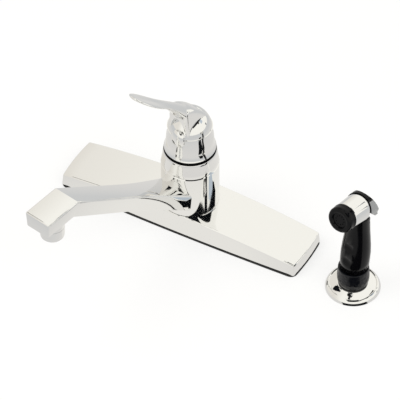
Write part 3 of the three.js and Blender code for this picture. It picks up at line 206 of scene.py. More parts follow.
# Lapped alumina: off-white, flat and faintly glossy
def lappedAlumina():
    made, tree, shader, spot = startMaterial("lappedAlumina", {
        "Base Color": linear("#E7E1D3"), "Roughness": 0.22, "IOR": 1.76})
    grain = addNode(tree, "ShaderNodeTexNoise", {"Scale": 2500, "Detail": 2}, {"Vector": spot})
    bump = addNode(tree, "ShaderNodeBump", {"Strength": 0.05, "Distance": 0.0001},
                   {"Height": grain.outputs["Fac"]})
    tree.links.new(bump.outputs["Normal"], shader.inputs["Normal"])
    return made


# The deck cup's black ABS, blue-black with a coarse moulded stipple that glints
def stippledAbs():
    made, tree, shader, spot = startMaterial("stippledAbs", {
        "Base Color": linear("#07090F"), "Roughness": 0.3, "IOR": 1.53, "Specular IOR Level": 0.3})
    pits = addNode(tree, "ShaderNodeTexVoronoi", {"Scale": 330}, {"Vector": spot})
    bump = addNode(tree, "ShaderNodeBump", {"Strength": 0.5, "Distance": 0.0006},
                   {"Height": pits.outputs["Distance"]})
    tree.links.new(bump.outputs["Normal"], shader.inputs["Normal"])
    return made


chrome, blackAbs, greyPlastic, stippled = chromePlating(), glossBlackAbs(), greyAbs(), stippledAbs()
brass, copper, steel = castBrass(), copperTube(), stainlessSteel()
acetal, rubber, ceramic = whiteAcetal(), nitrileRubber(), lappedAlumina()

finishOf = {
    "chrome": chrome, "brass": brass, "copper": copper, "steel": steel, "black_plastic": blackAbs,
    "grey_plastic": greyPlastic, "white_plastic": acetal, "rubber": rubber, "ceramic": ceramic,
}
for part in frame["record"]["subparts"]:
    held = nodes[part["node"]]
    held.data.materials.clear()
    held.data.materials.append(finishOf[part["material_slot"]])
print("materials given to the frame")


# ---- ways of shaping ----

def clearSelection():
    bpy.ops.object.select_all(action="DESELECT")


def startFromPoint(name):
    clearSelection()
    bpy.ops.mesh.primitive_plane_add(size=mm)
    piece = bpy.context.object
    piece.name = piece.data.name = name
    bpy.ops.object.mode_set(mode="EDIT")
    bpy.ops.mesh.merge(type="CENTER")
    return piece


def drawLine(corners):
    # corners in mm, each [x, y, z]; the selected point is pulled along them
    bpy.ops.transform.translate(value=Vector(corners[0]) * mm)
    here = Vector(corners[0])
    for corner in corners[1:]:
        step = (Vector(corner) - here) * mm
        bpy.ops.mesh.extrude_vertices_move(TRANSFORM_OT_translate={"value": step})
        here = Vector(corner)


def turn(name, profile, steps=96):
    # profile in mm, [radius, height]; closed back on its first corner
    piece = startFromPoint(name)
    drawLine([(r, 0, z) for r, z in profile + profile[:1]])
    bpy.ops.mesh.select_all(action="SELECT")
    bpy.ops.mesh.spin(steps=steps, angle=2 * math.pi, center=(0, 0, 0), axis=(0, 0, 1))
    bpy.ops.mesh.select_all(action="SELECT")
    bpy.ops.mesh.remove_doubles(threshold=weldReach)
    bpy.ops.mesh.delete_loose()
    closeUp()
    return piece


def edit(piece):
    clearSelection()
    piece.select_set(True)
    bpy.context.view_layer.objects.active = piece
    bpy.ops.object.mode_set(mode="EDIT")


def closeUp():
    # in edit mode: points the faces outwards and goes back
    bpy.ops.mesh.select_all(action="SELECT")
    bpy.ops.mesh.normals_make_consistent(inside=False)
    bpy.ops.object.mode_set(mode="OBJECT")


def pick(piece, test):
    # in edit mode: selects the points that pass the test, given in mm
    tree = bmesh.from_edit_mesh(piece.data)
    for part in (*tree.faces, *tree.edges):
        part.select_set(False)
    for point in tree.verts:
        point.select_set(bool(test(point.co / mm)))
    tree.select_flush(True)
    bmesh.update_edit_mesh(piece.data)


def pickFaces(piece, test):
    # in edit mode: selects the faces that pass the test
    tree = bmesh.from_edit_mesh(piece.data)
    for part in (*tree.faces, *tree.edges, *tree.verts):
        part.select_set(False)
    for face in tree.faces:
        if test(face):
            face.select_set(True)
    bmesh.update_edit_mesh(piece.data)


def secondMaterial(piece, material, test):
    # gives the faces that pass the test another material
    piece.data.materials.append(material)
    edit(piece)
    pickFaces(piece, test)
    piece.active_material_index = 1
    bpy.ops.object.material_slot_assign()
    bpy.ops.object.mode_set(mode="OBJECT")


def applyModifier(piece, kind, **settings):
    clearSelection()
    piece.select_set(True)
    bpy.context.view_layer.objects.active = piece
    made = piece.modifiers.new(kind.title(), kind)
    for name, value in settings.items():
        setattr(made, name, value)
    bpy.ops.object.modifier_apply(modifier=made.name)


def combine(piece, other, operation):
    applyModifier(piece, "BOOLEAN", object=other, operation=operation, solver="EXACT")
    # a cut can leave two vertices at one place, and then the next cut leaves stray faces
    applyModifier(piece, "WELD", merge_threshold=weldReach)
    bpy.data.objects.remove(other)


def roundEdges(piece, width, segments=3, angle=30):
    applyModifier(piece, "BEVEL", width=width * mm, segments=segments, limit_method="ANGLE",
                  angle_limit=math.radians(angle), miter_outer="MITER_ARC")


def place(piece, where):
    # the move goes into the mesh, so the object stays at the origin
    clearSelection()
    piece.select_set(True)
    bpy.context.view_layer.objects.active = piece
    piece.matrix_world = where
    bpy.ops.object.transform_apply(location=True, rotation=True, scale=True)


def finish(piece, body, material, stoodFor=(), smooth=35):
    clearSelection()
    piece.select_set(True)
    bpy.context.view_layer.objects.active = piece
    bpy.ops.object.shade_smooth_by_angle(angle=math.radians(smooth))
    piece.data.materials.clear()
    piece.data.materials.append(material)
    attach(piece, body)
    if stoodFor:
        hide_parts(*stoodFor)
    print("made", piece.name, len(piece.data.polygons), "faces")


def aboutZ(degrees):
    return Matrix.Rotation(math.radians(degrees), 4, "Z")


def aboutX(degrees):
    return Matrix.Rotation(math.radians(degrees), 4, "X")


def moved(x, y, z):
    return Matrix.Translation(Vector((x, y, z)) * mm)


# ---- deck plate ----

plate = {
    "length": 262.6, "endWidth": 58, "midWidth": 62.7,  # at the lower edge, mm
    "endHeight": 13.8, "midHeight": 23.7, "archPower": 1.8,
    "bottom": 1.9, "draft": 3.2, "endDraft": 1.2, "bow": 1.6, "corner": 8.5, "edge": 1.4, "wall": 2.2,
    "seatRadius": 29.2, "seatTop": 24.1, "holeRadius": 21.3,
    "slices": 24, "blockHeight": 20, "cornerSteps": 10,
}


def plateBody(name, inset):
    # a closed block with the plate's outline, each wall moved in by the inset
    clearSelection()
    bpy.ops.mesh.primitive_cube_add(size=1)
    piece = bpy.context.object
    piece.name = piece.data.name = name
    half = plate["length"] / 2 - inset
    piece.scale = (2 * half * mm, (plate["endWidth"] - 2 * inset) * mm, plate["blockHeight"] * mm)
    bpy.ops.object.transform_apply(location=True, rotation=True, scale=True)
    bpy.ops.object.mode_set(mode="EDIT")
    tree = bmesh.from_edit_mesh(piece.data)
    for edge in tree.edges:
        a, b = edge.verts
        edge.select_set(abs(a.co.z - b.co.z) > 5 * mm)
    bmesh.update_edit_mesh(piece.data)
    bpy.ops.mesh.bevel(offset=(plate["corner"] - inset) * mm, segments=plate["cornerSteps"], affect="EDGES")
    slices = plate["slices"]
    for k in range(1 - slices, slices):
        bpy.ops.mesh.select_all(action="SELECT")
        bpy.ops.mesh.bisect(plane_co=(k / slices * (half - plate["corner"]) * mm, 0, 0), plane_no=(1, 0, 0))
    rings = []
    for x in sorted(p.co.x / mm for p in bmesh.from_edit_mesh(piece.data).verts):
        if not rings or x - rings[-1] > near:
            rings.append(x)
    for x in rings:
        share = min(1, abs(x) / half)
        width = 1 + (plate["midWidth"] / plate["endWidth"] - 1) * (1 - share ** 2)
        fall = (plate["midHeight"] - plate["endHeight"]) * share ** plate["archPower"]
        top = plate["midHeight"] - fall - inset
        pick(piece, lambda p: abs(p.x - x) < near)
        bpy.ops.transform.resize(value=(1, width, 1), center_override=(0, 0, 0))
        pick(piece, lambda p: abs(p.x - x) < near and p.z > 0)
        bpy.ops.transform.translate(value=(0, 0, (top - plate["blockHeight"] / 2) * mm))
    # the ends bow out a little between their corners
    for k in range(-3, 4):
        bpy.ops.mesh.select_all(action="SELECT")
        bpy.ops.mesh.bisect(plane_co=(0, k / 4 * plate["endWidth"] / 2 * mm, 0), plane_no=(0, 1, 0))
    halfWidth = plate["endWidth"] / 2 - inset
    inEnd = half - plate["corner"] / 2
    tree = bmesh.from_edit_mesh(piece.data)
    across = sorted({round(p.co.y / mm, 1) for p in tree.verts if abs(p.co.x) > inEnd * mm})
    for y in across:
        for side in (-1, 1):
            pick(piece, lambda p: side * p.x > inEnd - inset and -0.05 <= p.y - y < 0.05)
            bpy.ops.transform.translate(value=(-side * plate["bow"] * (y / halfWidth) ** 2 * mm, 0, 0))
    # the walls lean in towards the top
    leanX, leanY = plate["endDraft"] / half, 2 * plate["draft"] / plate["midWidth"]
    pick(piece, lambda p: p.z > 0)
    bpy.ops.transform.resize(value=(1 - leanX, 1 - leanY, 1), center_override=(0, 0, 0))
    closeUp()
    return piece


def makeDeckPlate():
    piece = plateBody("deckPlate", 0)
    roundEdges(piece, plate["edge"], 4)
    combine(piece, plateBody("plateHollow", plate["wall"]), "DIFFERENCE")
    edit(piece)
    bpy.ops.mesh.select_all(action="SELECT")
    bpy.ops.mesh.bisect(plane_co=(0, 0, plate["bottom"] * mm), plane_no=(0, 0, 1),
                        clear_inner=True, use_fill=True)
    bpy.ops.object.mode_set(mode="OBJECT")
    r, top, foot = plate["seatRadius"], plate["seatTop"], plate["midHeight"] - 2
    seat = turn("plateSeat", [(0, foot), (r, foot), (r, top - 0.2), (r - 0.2, top), (0, top)])
    combine(piece, seat, "UNION")
    hole = turn("plateHole", [(0, 0), (plate["holeRadius"], 0), (plate["holeRadius"], 40), (0, 40)])
    combine(piece, hole, "DIFFERENCE")
    finish(piece, "fixture", chrome, ["deck_plate"])


makeDeckPlate()


# ---- spout ----

spout = {
    "turned": -11.3,  # degrees about the hub
    "hubRadius": 28.4, "hubBore": 23.4, "hubTop": 74, "hubBottom": 24.4, "hubFootTop": 26.2,
    "reach": 197.9, "topHeight": 163.7, "rise": 35.4, "tipBack": 21.2, "tipFront": 20.3,
    "depth": 17.1, "width": 29.3, "waist": 26.5, "root": 41, "underside": 0.9, "edge": 1.6,
    "outletRadius": 11.8, "outletDrop": 6, "threadRadius": 9.7,
    "start": 12, "narrowed": 90, "steps": 28,  # the arm begins inside the hub and flares up to here
}


def smoothBetween(start, end, value):
    t = min(1, max(0, (value - start) / (end - start)))
    return t * t * (3 - 2 * t)


def armWidth(run):
    top = spout["reach"] - spout["tipBack"]
    waist = spout["waist"] + (spout["width"] - spout["waist"]) * smoothBetween(spout["narrowed"], top, run)
    flare = smoothBetween(spout["start"], spout["narrowed"], run) ** 0.6
    return spout["root"] + (waist - spout["root"]) * flare


def makeArm():
    # drawn level along -Y with its top at z = 0, from inside the hub to the bend, then tilted
    slope = math.radians(spout["rise"])
    bend = spout["reach"] - spout["tipBack"]
    start, steps = spout["start"], spout["steps"]
    runs = [start + (bend - start) * k / steps for k in range(steps + 1)]
    clearSelection()
    bpy.ops.mesh.primitive_plane_add(size=1, rotation=(math.pi / 2, 0, 0))
    arm = bpy.context.object
    arm.name = arm.data.name = "spoutArm"
    arm.scale = (armWidth(start) * mm, spout["depth"] * mm, 1)
    arm.location = (0, -start / math.cos(slope) * mm, -0.5 * spout["depth"] * mm)
    bpy.ops.object.transform_apply(location=True, rotation=True, scale=True)
    bpy.ops.object.mode_set(mode="EDIT")
    pick(arm, lambda p: p.z < -spout["depth"] / 2)
    bpy.ops.transform.resize(value=(spout["underside"], 1, 1), center_override=(0, 0, 0))
    bpy.ops.mesh.select_all(action="SELECT")
    for before, run in zip(runs, runs[1:]):
        step = -(run - before) / math.cos(slope) * mm
        bpy.ops.mesh.extrude_region_move(TRANSFORM_OT_translate={"value": (0, step, 0)})
        bpy.ops.transform.resize(value=(armWidth(run) / armWidth(before), 1, 1), center_override=(0, 0, 0))
    # the bend: the lower corners of the last section move back along the arm
    end = -bend / math.cos(slope)
    pick(arm, lambda p: p.y < end + 0.01 and p.z < -spout["depth"] / 2)
    bpy.ops.transform.translate(value=(0, spout["depth"] * math.tan(slope / 2) * mm, 0))
    front = min(f.calc_center_median().y for f in bmesh.from_edit_mesh(arm.data).faces)
    pickFaces(arm, lambda f: f.calc_center_median().y == front)
    level = spout["tipBack"] + spout["tipFront"]
    bpy.ops.mesh.extrude_region_move(TRANSFORM_OT_translate={
        "value": (0, -level * math.cos(slope) * mm, -level * math.sin(slope) * mm)})
    # its lower corners stand plumb under the upper ones once the arm is tilted
    tree = bmesh.from_edit_mesh(arm.data)
    chosen = [p for p in tree.verts if p.select]
    middleHeight = sum(p.co.z for p in chosen) / len(chosen)
    upper = next(p.co.copy() for p in chosen if p.co.z >= middleHeight)
    lower = next(p.co.copy() for p in chosen if p.co.z < middleHeight)
    for part in (*tree.faces, *tree.edges):
        part.select_set(False)
    for point in tree.verts:
        point.select_set(point in chosen and point.co.z < middleHeight)
    bmesh.update_edit_mesh(arm.data)
    depth = spout["depth"] * mm
    bpy.ops.transform.translate(value=(0, upper.y + depth * math.sin(slope) - lower.y,
                                       upper.z - depth * math.cos(slope) - lower.z))
    bpy.ops.object.mode_set(mode="OBJECT")
    roundEdges(arm, spout["edge"], 4, 40)
    rootHeight = spout["topHeight"] - bend * math.tan(slope)
    place(arm, moved(0, 0, rootHeight) @ aboutX(-spout["rise"]))
    return arm


def makeSpout():
    r, bore, top, foot = spout["hubRadius"], spout["hubBore"], spout["hubTop"], spout["hubFootTop"]
    skirt = spout["hubBottom"]  # the outer wall runs down round the plate's seat
    hub = turn("spoutHub", [
        (bore, foot), (r - 1.1, foot), (r - 1.1, skirt), (r - 0.3, skirt), (r, skirt + 0.3),
        (r, top - 0.8), (r - 0.8, top), (bore, top)], 128)
    arm = makeArm()
    column = turn("hubBore", [(0, -40), (bore + 1, -40), (bore + 1, 90), (0, 90)], 128)
    combine(arm, column, "DIFFERENCE")
    under = turn("underHub", [(0, -100), (60, -100), (60, foot), (0, foot)], 64)
    combine(arm, under, "DIFFERENCE")
    combine(hub, arm, "UNION")
    low = spout["topHeight"] - spout["depth"] - spout["outletDrop"]
    for name, radius, start, end, operation in (
            ("outletBoss", spout["outletRadius"], low, low + 8, "UNION"),
            ("outletMouth", spout["threadRadius"], low - 1, low + 9, "DIFFERENCE")):
        tool = turn(name, [(0, start), (radius, start), (radius, end), (0, end)])
        place(tool, moved(0, -spout["reach"], 0))
        combine(hub, tool, operation)
    hub.name = hub.data.name = "spoutCasting"
    place(hub, aboutZ(spout["turned"]))
    finish(hub, "spout", chrome, ["spout"], 30)


makeSpout()


# ---- bonnet ----

bonnet = {
    "foot": 74.3, "thread": 20.7, "threadTop": 83.3, "radius": 28.2,
    "side": [(27.6, 78.4), (26.9, 83.6), (26.3, 88.2), (26.1, 90.2), (25.7, 90.8)],
    "groove": 91, "grooveRadius": 24.3, "top": 93.5,
    "dome": 29.16, "wall": 2.4,  # radius about the pivot, thickness
    "outsideRadii": (23.8, 22.5, 20.5, 18.5, 16, 13), "insideRadii": (13, 16, 19, 21.8),
}


def domeHeight(radius, dome):
    return pivotHeight + math.sqrt(dome ** 2 - radius ** 2)


def makeBonnet():
    foot, r, groove = bonnet["foot"], bonnet["radius"], bonnet["grooveRadius"]
    outer, inner = bonnet["dome"], bonnet["dome"] - bonnet["wall"]
    profile = [(bonnet["thread"], foot), (r - 0.6, foot), (r - 0.15, foot + 0.25), (r, foot + 0.8)]
    profile += bonnet["side"] + [(groove, bonnet["groove"]), (groove, bonnet["top"] - 0.1)]
    profile += [(radius, domeHeight(radius, outer)) for radius in bonnet["outsideRadii"]]
    profile += [(radius, domeHeight(radius, inner)) for radius in bonnet["insideRadii"]]
    profile += [(bonnet["thread"], bonnet["threadTop"])]
    piece = turn("bonnetShell", profile, 128)
    finish(piece, "fixture", chrome, ["bonnet"], 40)
    # painted shade: the groove and the dome's foot get the black ABS, so the gap under the handle reads as a
    # dark shadow line
    low, high = bonnet["groove"] - 0.3, bonnet["top"] + 1
    secondMaterial(piece, blackAbs, lambda face: low < face.calc_center_median().z / mm < high)


makeBonnet()


# ---- lever handle ----

handle = {
    # heights in mm above the pivot
    "turned": -12, "crown": 52, "lip": 15.48, "wall": 2.4, "rise": 43,
    "capFoot": 37, "capRadius": 21.9, "capCrown": 62.4, "capRim": (41.5, 42.2), "axis": 62.2,
    "lipRadius": 25.4, "flareRadius": 24.3, "shoulder": 23,
    # run from the axis, width, depth, how far the middle lies under the axis, hollow on top
    "blade": [
        (-15.1, 15, 9, 6.5, 0), (-11, 19, 13, 5.4, 0), (-4.5, 21.5, 15, 4.2, 0),
        (6.1, 22.5, 15.5, 3.8, 0), (14.1, 22.5, 15, 3.6, 0), (23.3, 21.8, 12.6, 2.4, 0),
        (32.6, 20, 9.4, 1.0, 0), (39.2, 18.6, 7.6, 0.4, 0), (45.8, 17.6, 6.4, 0, 0),
        (52.5, 18, 5.7, 0, 0), (59.1, 20, 5.1, 0, 0.3), (65.7, 23, 4.8, 0, 0.9),
        (72.3, 26.1, 4.6, 0, 1.6), (78.9, 28.3, 4.6, 0, 1.8), (85.6, 28.9, 4.6, 0, 1.8),
        (90.9, 28.3, 4.5, 0, 1.8), (96.1, 26.4, 4.4, 0, 1.6), (101, 22.6, 4.1, 0, 1.3),
        (105.4, 16.6, 3.6, 0, 0.9), (108.4, 9, 2.8, 0, 0.5), (109.4, 4, 2, 0, 0.2)],
}


def domeProfile(inset):
    # radius and height from the flared lip up to the crown, all moved in by the inset
    shoulder, crown, lip = handle["shoulder"] - inset, handle["crown"] - inset, handle["lip"]
    points = [(handle["lipRadius"] - inset, lip), (handle["flareRadius"] - inset, lip + 2.2),
              (shoulder + 0.5, lip + 6.5), (shoulder, lip + 15), (shoulder - 1.9, lip + 21.5)]
    r, z = points[-1]
    for k in range(1, 10):
        angle = math.radians(10 * k)
        points.append((r * math.cos(angle), z + (crown - z) * math.sin(angle)))
    return points[:-1] + [(0, crown)]


def makeBlade():
    clearSelection()
    bpy.ops.mesh.primitive_circle_add(vertices=16, radius=1, fill_type="NGON", rotation=(math.pi / 2, 0, 0))
    blade = bpy.context.object
    blade.name = blade.data.name = "leverBlade"
    stations = handle["blade"]
    run, width, depth, sink, hollow = stations[0]
    blade.scale = (width / 2 * mm, depth / 2 * mm, 1)
    blade.location = (0, -run * mm, -sink * mm)
    bpy.ops.object.transform_apply(location=True, rotation=True, scale=True)
    bpy.ops.object.mode_set(mode="EDIT")
    bpy.ops.mesh.select_all(action="SELECT")
    before = stations[0]
    for station in stations[1:]:
        run, width, depth, sink, hollow = station
        bpy.ops.mesh.extrude_region_move(TRANSFORM_OT_translate={
            "value": (0, (before[0] - run) * mm, (before[3] - sink) * mm)})
        bpy.ops.transform.resize(value=(width / before[1], 1, depth / before[2]),
                                 center_override=(0, -run * mm, -sink * mm))
        before = station
    for run, width, depth, sink, hollow in stations:
        for reach, share in ((0.1, 1), (0.45, 0.55), (0.8, 0.2)):
            pick(blade, lambda p: abs(p.y + run) < 0.2 and p.z > 0
                 and reach - 0.3 < abs(p.x) / (width / 2) < reach + 0.1)
            if hollow:
                bpy.ops.transform.translate(value=(0, 0, -hollow * share * mm))
    closeUp()
    applyModifier(blade, "SUBSURF", levels=2, render_levels=2)
    place(blade, moved(0, 0, handle["axis"]) @ aboutX(-handle["rise"]))
    return blade


hump = {
    # side view, forward and up from the pivot: the lever's root over the cap
    "side": [(-15.5, 51), (-13.5, 54), (-9.5, 58.6), (-5, 63.6), (1, 69.2), (8, 74.6), (14, 77.5), (18, 77),
             (18.6, 72), (18.2, 60), (17.4, 48), (16, 38), (-12, 38)],
    "halfWidth": 13.4, "topShare": 0.83, "edge": 3.4,
    "archHalfWidth": 10, "archTop": 64, "archFoot": 38, "archBack": 13,
}


def makeHump():
    block = startFromPoint("leverRoot")
    side = hump["side"]
    drawLine([(hump["halfWidth"], -u, z) for u, z in side + side[:1]])
    bpy.ops.mesh.select_all(action="SELECT")
    bpy.ops.mesh.remove_doubles(threshold=weldReach)
    bpy.ops.mesh.edge_face_add()
    bpy.ops.mesh.extrude_region_move(TRANSFORM_OT_translate={"value": (-2 * hump["halfWidth"] * mm, 0, 0)})
    for u, z in side:
        share = 1 - (1 - hump["topShare"]) * smoothBetween(36, 74, z)
        pick(block, lambda p: abs(p.y + u) < near and abs(p.z - z) < near)
        bpy.ops.transform.resize(value=(share, 1, 1), center_override=(0, 0, 0))
    closeUp()
    roundEdges(block, hump["edge"], 4, 40)
    clearSelection()
    bpy.ops.mesh.primitive_cylinder_add(vertices=64, radius=1, depth=1, rotation=(math.pi / 2, 0, 0))
    arch = bpy.context.object
    arch.scale = (hump["archHalfWidth"] * mm, (hump["archTop"] - hump["archFoot"]) * mm, 20 * mm)
    arch.location = (0, -(hump["archBack"] + 10) * mm, hump["archFoot"] * mm)
    bpy.ops.object.transform_apply(location=True, rotation=True, scale=True)
    combine(block, arch, "DIFFERENCE")
    return block


boss = {
    "height": 41, "aside": 3, "halfWidth": 8, "halfHeight": 10.5, "halfDepth": 4.8, "centre": 20.2,
    "screwRadius": 2.3, "screwHeight": 37.6,
}


def makeHandle():
    inner = domeProfile(handle["wall"])
    outer = domeProfile(0)
    piece = turn("leverHandle", [(0, handle["lip"])] + outer[:-1] + [(0, handle["crown"])], 128)
    swell = handle["capCrown"] - handle["capFoot"]
    cap = []
    for degrees in range(12, 90, 6):
        a = math.radians(degrees)
        cap.append((handle["capRadius"] * math.cos(a), handle["capFoot"] + swell * math.sin(a)))
    cap.append((0, handle["capCrown"]))
    rimFoot, rimTop = handle["capRim"]
    rim = [(0, rimFoot), (cap[0][0] + 0.4, rimFoot), (cap[0][0] + 0.7, rimTop)]
    crownCap = turn("handleCap", rim + cap, 128)
    combine(piece, crownCap, "UNION")
    combine(piece, makeHump(), "UNION")
    combine(piece, makeBlade(), "UNION")
    clearSelection()
    bpy.ops.mesh.primitive_uv_sphere_add(segments=48, ring_count=32, radius=mm)
    knob = bpy.context.object
    knob.scale = (boss["halfWidth"], boss["halfDepth"], boss["halfHeight"])
    knob.location = (boss["aside"] * mm, -boss["centre"] * mm, boss["height"] * mm)
    bpy.ops.object.transform_apply(location=True, rotation=True, scale=True)
    combine(piece, knob, "UNION")
    hollow = turn("handleHollow", [(0, -5), (inner[0][0], -5)] + inner, 128)
    combine(piece, hollow, "DIFFERENCE")
    screw = boss["screwRadius"]
    screwHole = turn("screwHole", [(0, 10), (screw, 10), (screw, 40), (0, 40)], 32)
    place(screwHole, moved(0, 0, boss["screwHeight"]) @ aboutX(90))
    combine(piece, screwHole, "DIFFERENCE")
    place(piece, moved(0, 0, pivotHeight) @ aboutZ(handle["turned"]))
    finish(piece, "lever", chrome, ["handle"], 32)


makeHandle()


# ---- spray holder in the deck ----

spray = {"x": 184.2, "y": -9.7, "turned": -8.6, "headBack": 0.7, "headHeight": 106.4, "headTilt": -12.4}
sprayPlace = moved(spray["x"], spray["y"], 0) @ aboutZ(spray["turned"])
headPlace = sprayPlace @ moved(0, spray["headBack"], spray["headHeight"]) @ aboutX(spray["headTilt"])

flange = [  # radius, height
    (12.7, 0), (15.7, 0), (15.7, 3), (22.4, 3), (23.4, 0), (26.5, 0), (26.8, 0.3), (26.8, 1.2), (26.55, 2.3),
    (26.1, 3.3), (25.5, 4.3), (24.6, 5.2), (23.7, 5.9), (23.4, 6), (22.9, 5.5), (22.5, 5.1), (20.8, 6),
    (18.2, 6.9), (16.6, 7.6), (15.7, 8), (12.7, 8)]


def makeFlange():
    piece = turn("sprayFlange", flange, 128)
    place(piece, sprayPlace)
    finish(piece, "fixture", chrome, ["spray_flange"], 30)


cup = [  # radius, height: a threaded shank under the deck and a flared mouth over it
    (9.6, -30), (11.4, -30), (12.4, -29), (12.4, 8.3), (14.1, 8.3), (14.9, 9.8), (15.4, 12.4), (15.65, 15),
    (15.7, 17), (15.6, 20), (15.35, 23.2), (15.15, 26.4), (15, 27.9), (14.6, 28.4), (13.2, 28.4),
    (12.9, 28.1), (12.9, 22.4), (10.8, 17), (9.6, 13)]


def makeHolder():
    piece = turn("sprayCup", cup, 96)
    place(piece, sprayPlace)
    finish(piece, "fixture", stippled, ["spray_holder"], 30)


makeFlange()
makeHolder()


# ---- hand spray ----

grip = {
    # radii and heights in mm; the grip leans back towards its neck
    "bottom": 28.7, "foot": 14.1, "footHeight": 28.4, "belly": 14.5, "bellyHeight": 44,
    "neck": 11.6, "neckHeight": 86, "lean": 4.8, "leanStart": 18.4,
    "fingers": [45.5, 62.5], "hollowDepth": 1.5,  # two hollows on the front
    "fingerWidth": 11, "fingerDepth": 5, "fingerHeight": 7.5,
}


def gripRadius(z):
    if z < grip["bellyHeight"]:
        share = smoothBetween(grip["footHeight"], grip["bellyHeight"], z)
        return grip["foot"] + (grip["belly"] - grip["foot"]) * share
    share = smoothBetween(grip["bellyHeight"], grip["neckHeight"], z)
    return grip["belly"] + (grip["neck"] - grip["belly"]) * share


def gripBack(z):
    return grip["lean"] * smoothBetween(grip["leanStart"], grip["neckHeight"], z) ** 0.6


def gripBlank(name, top):
    # the plain grip up to a height, used to notch the collar round it
    clearSelection()
    bottom = grip["bottom"]
    bpy.ops.mesh.primitive_circle_add(vertices=64, radius=gripRadius(bottom) * mm, fill_type="NGON",
                                      location=(0, gripBack(bottom) * mm, bottom * mm))
    piece = bpy.context.object
    piece.name = piece.data.name = name
    bpy.ops.object.transform_apply(location=True, rotation=True, scale=True)
    bpy.ops.object.mode_set(mode="EDIT")
    bpy.ops.mesh.select_all(action="SELECT")
    before = bottom
    for z in [29.1] + list(range(31, top, 2)):
        bpy.ops.mesh.extrude_region_move(TRANSFORM_OT_translate={
            "value": (0, (gripBack(z) - gripBack(before)) * mm, (z - before) * mm)})
        ratio = gripRadius(z) / gripRadius(before)
        bpy.ops.transform.resize(value=(ratio, ratio, 1), center_override=(0, gripBack(z) * mm, z * mm))
        before = z
    closeUp()
    return piece


head = {
    "front": 18.4,  # the collar's front edge, forward of the barrel's middle
    # radius, distance from the front edge, and from the ring's back edge
    "collar": [(12.4, 0), (12.7, 0), (13.2, 0.5), (13.9, 18.4), (13.9, 21.6), (13.6, 22.2), (13.1, 22.4),
               (12.4, 22.4)],
    "ring": [(9.8, 0), (13.3, 0), (13.5, 0.3), (13.5, 1.8), (13.3, 2.2), (13.2, 5), (13.2, 7.3), (12.85, 8.3),
             (12.1, 9.2), (11.1, 9.75), (10.2, 9.9), (8.6, 9.9), (8.2, 9.7), (7.4, 8.3), (9.8, 8.3)],
}


def makeCollar():
    piece = turn("sprayCollar", head["collar"], 128)
    place(piece, moved(0, -head["front"], 0) @ aboutX(-90))
    notch = gripBlank("collarNotch", 92)
    applyModifier(notch, "SOLIDIFY", thickness=0.3 * mm, offset=1)
    place(notch, aboutX(-spray["headTilt"]) @ moved(0, -spray["headBack"], -spray["headHeight"]))
    combine(piece, notch, "DIFFERENCE")
    place(piece, headPlace)
    finish(piece, "hand_piece", chrome, ["spray_collar"], 30)


def makeNozzleRing():
    piece = turn("nozzleRing", head["ring"], 96)
    place(piece, headPlace @ moved(0, -head["front"] - 0.3, 0) @ aboutX(90))
    finish(piece, "hand_piece", blackAbs, ["nozzle_ring"], 30)


def takeOver(node, name):
    # a copy of a CAD node with its doubled points merged
    piece = nodes[node].copy()
    piece.data = nodes[node].data.copy()
    bpy.context.collection.objects.link(piece)
    piece.name = piece.data.name = name
    edit(piece)
    bpy.ops.mesh.select_all(action="SELECT")
    bpy.ops.mesh.remove_doubles(threshold=weldReach)
    bpy.ops.object.mode_set(mode="OBJECT")
    return piece


def makeHandPiece():
    # the grip's front is hollowed for two fingers
    piece = takeOver("spray_body", "sprayGrip")
    for z in grip["fingers"]:
        clearSelection()
        bpy.ops.mesh.primitive_uv_sphere_add(segments=48, ring_count=32, radius=mm)
        finger = bpy.context.object
        finger.scale = (grip["fingerWidth"], grip["fingerDepth"], grip["fingerHeight"])
        bpy.ops.object.transform_apply(location=True, rotation=True, scale=True)
        outside = grip["fingerDepth"] - grip["hollowDepth"]
        place(finger, sprayPlace @ moved(0, gripBack(z) - gripRadius(z) - outside, z))
        combine(piece, finger, "DIFFERENCE")
    finish(piece, "hand_piece", blackAbs, ["spray_body"], 40)


def makeTrigger():
    # the CAD shape smoothed, since moulding rounds its every edge
    piece = takeOver("spray_lever", "sprayTrigger")
    applyModifier(piece, "REMESH", mode="VOXEL", voxel_size=0.35 * mm, use_smooth_shade=True)
    applyModifier(piece, "SMOOTH", factor=0.5, iterations=6)
    finish(piece, "spray_lever", blackAbs, ["spray_lever"], 50)
    toHead = headPlace.inverted()

    def onFlank(face):
        spot = toHead @ face.calc_center_median() / mm
        facing = toHead.to_3x3() @ face.normal
        return abs(spot.x) > 9 and spot.y > 3 and abs(facing.x) > 0.6 and facing.z < 0.72

    secondMaterial(piece, greyPlastic, onFlank)  # the thumb pad's flanks are worn to a satin grey


makeCollar()
makeNozzleRing()
makeHandPiece()
makeTrigger()
print("pieces made")


# ---- studio ----

studio = {
    "floorSize": 6.0,
    "glow": 0.7,  # how much of the floor is plain white to the camera
    "lamps": [((-0.9, -0.8, 1.6), 1.2, 14), ((1.3, -0.3, 1.3), 1.0, 9)],  # place, size, watts
    "strip": -74,  # degrees, a painted dark strip on the floor, seen only in its reflection in the handle's skirt
    # boards seen only in the chrome: azimuth from the front towards +X and elevation, width
    # and height in degrees, distance in metres, colour
    "boards": [
        (35, 49, 50, 32, 1.8, "#0E1013"),  # the dark room behind the camera
        (96, 47, 86, 12, 1.8, "#0A0C0E"),
        (93, 39.6, 11, 7, 1.8, "#0C0E11"),
        (114, 33, 18, 13, 1.8, "#C2CCD6"),
        (-103, 59, 28, 20, 1.8, "#101216"),
        (17, 78, 24, 10, 1.8, "#101216"),
        (164, 70, 26, 12, 1.8, "#2A2C2F"),
        (142, 27, 6, 8, 1.8, "#8C8E90"),
        (127, 7, 7, 8, 1.8, "#8C8E90"),
    ],
}


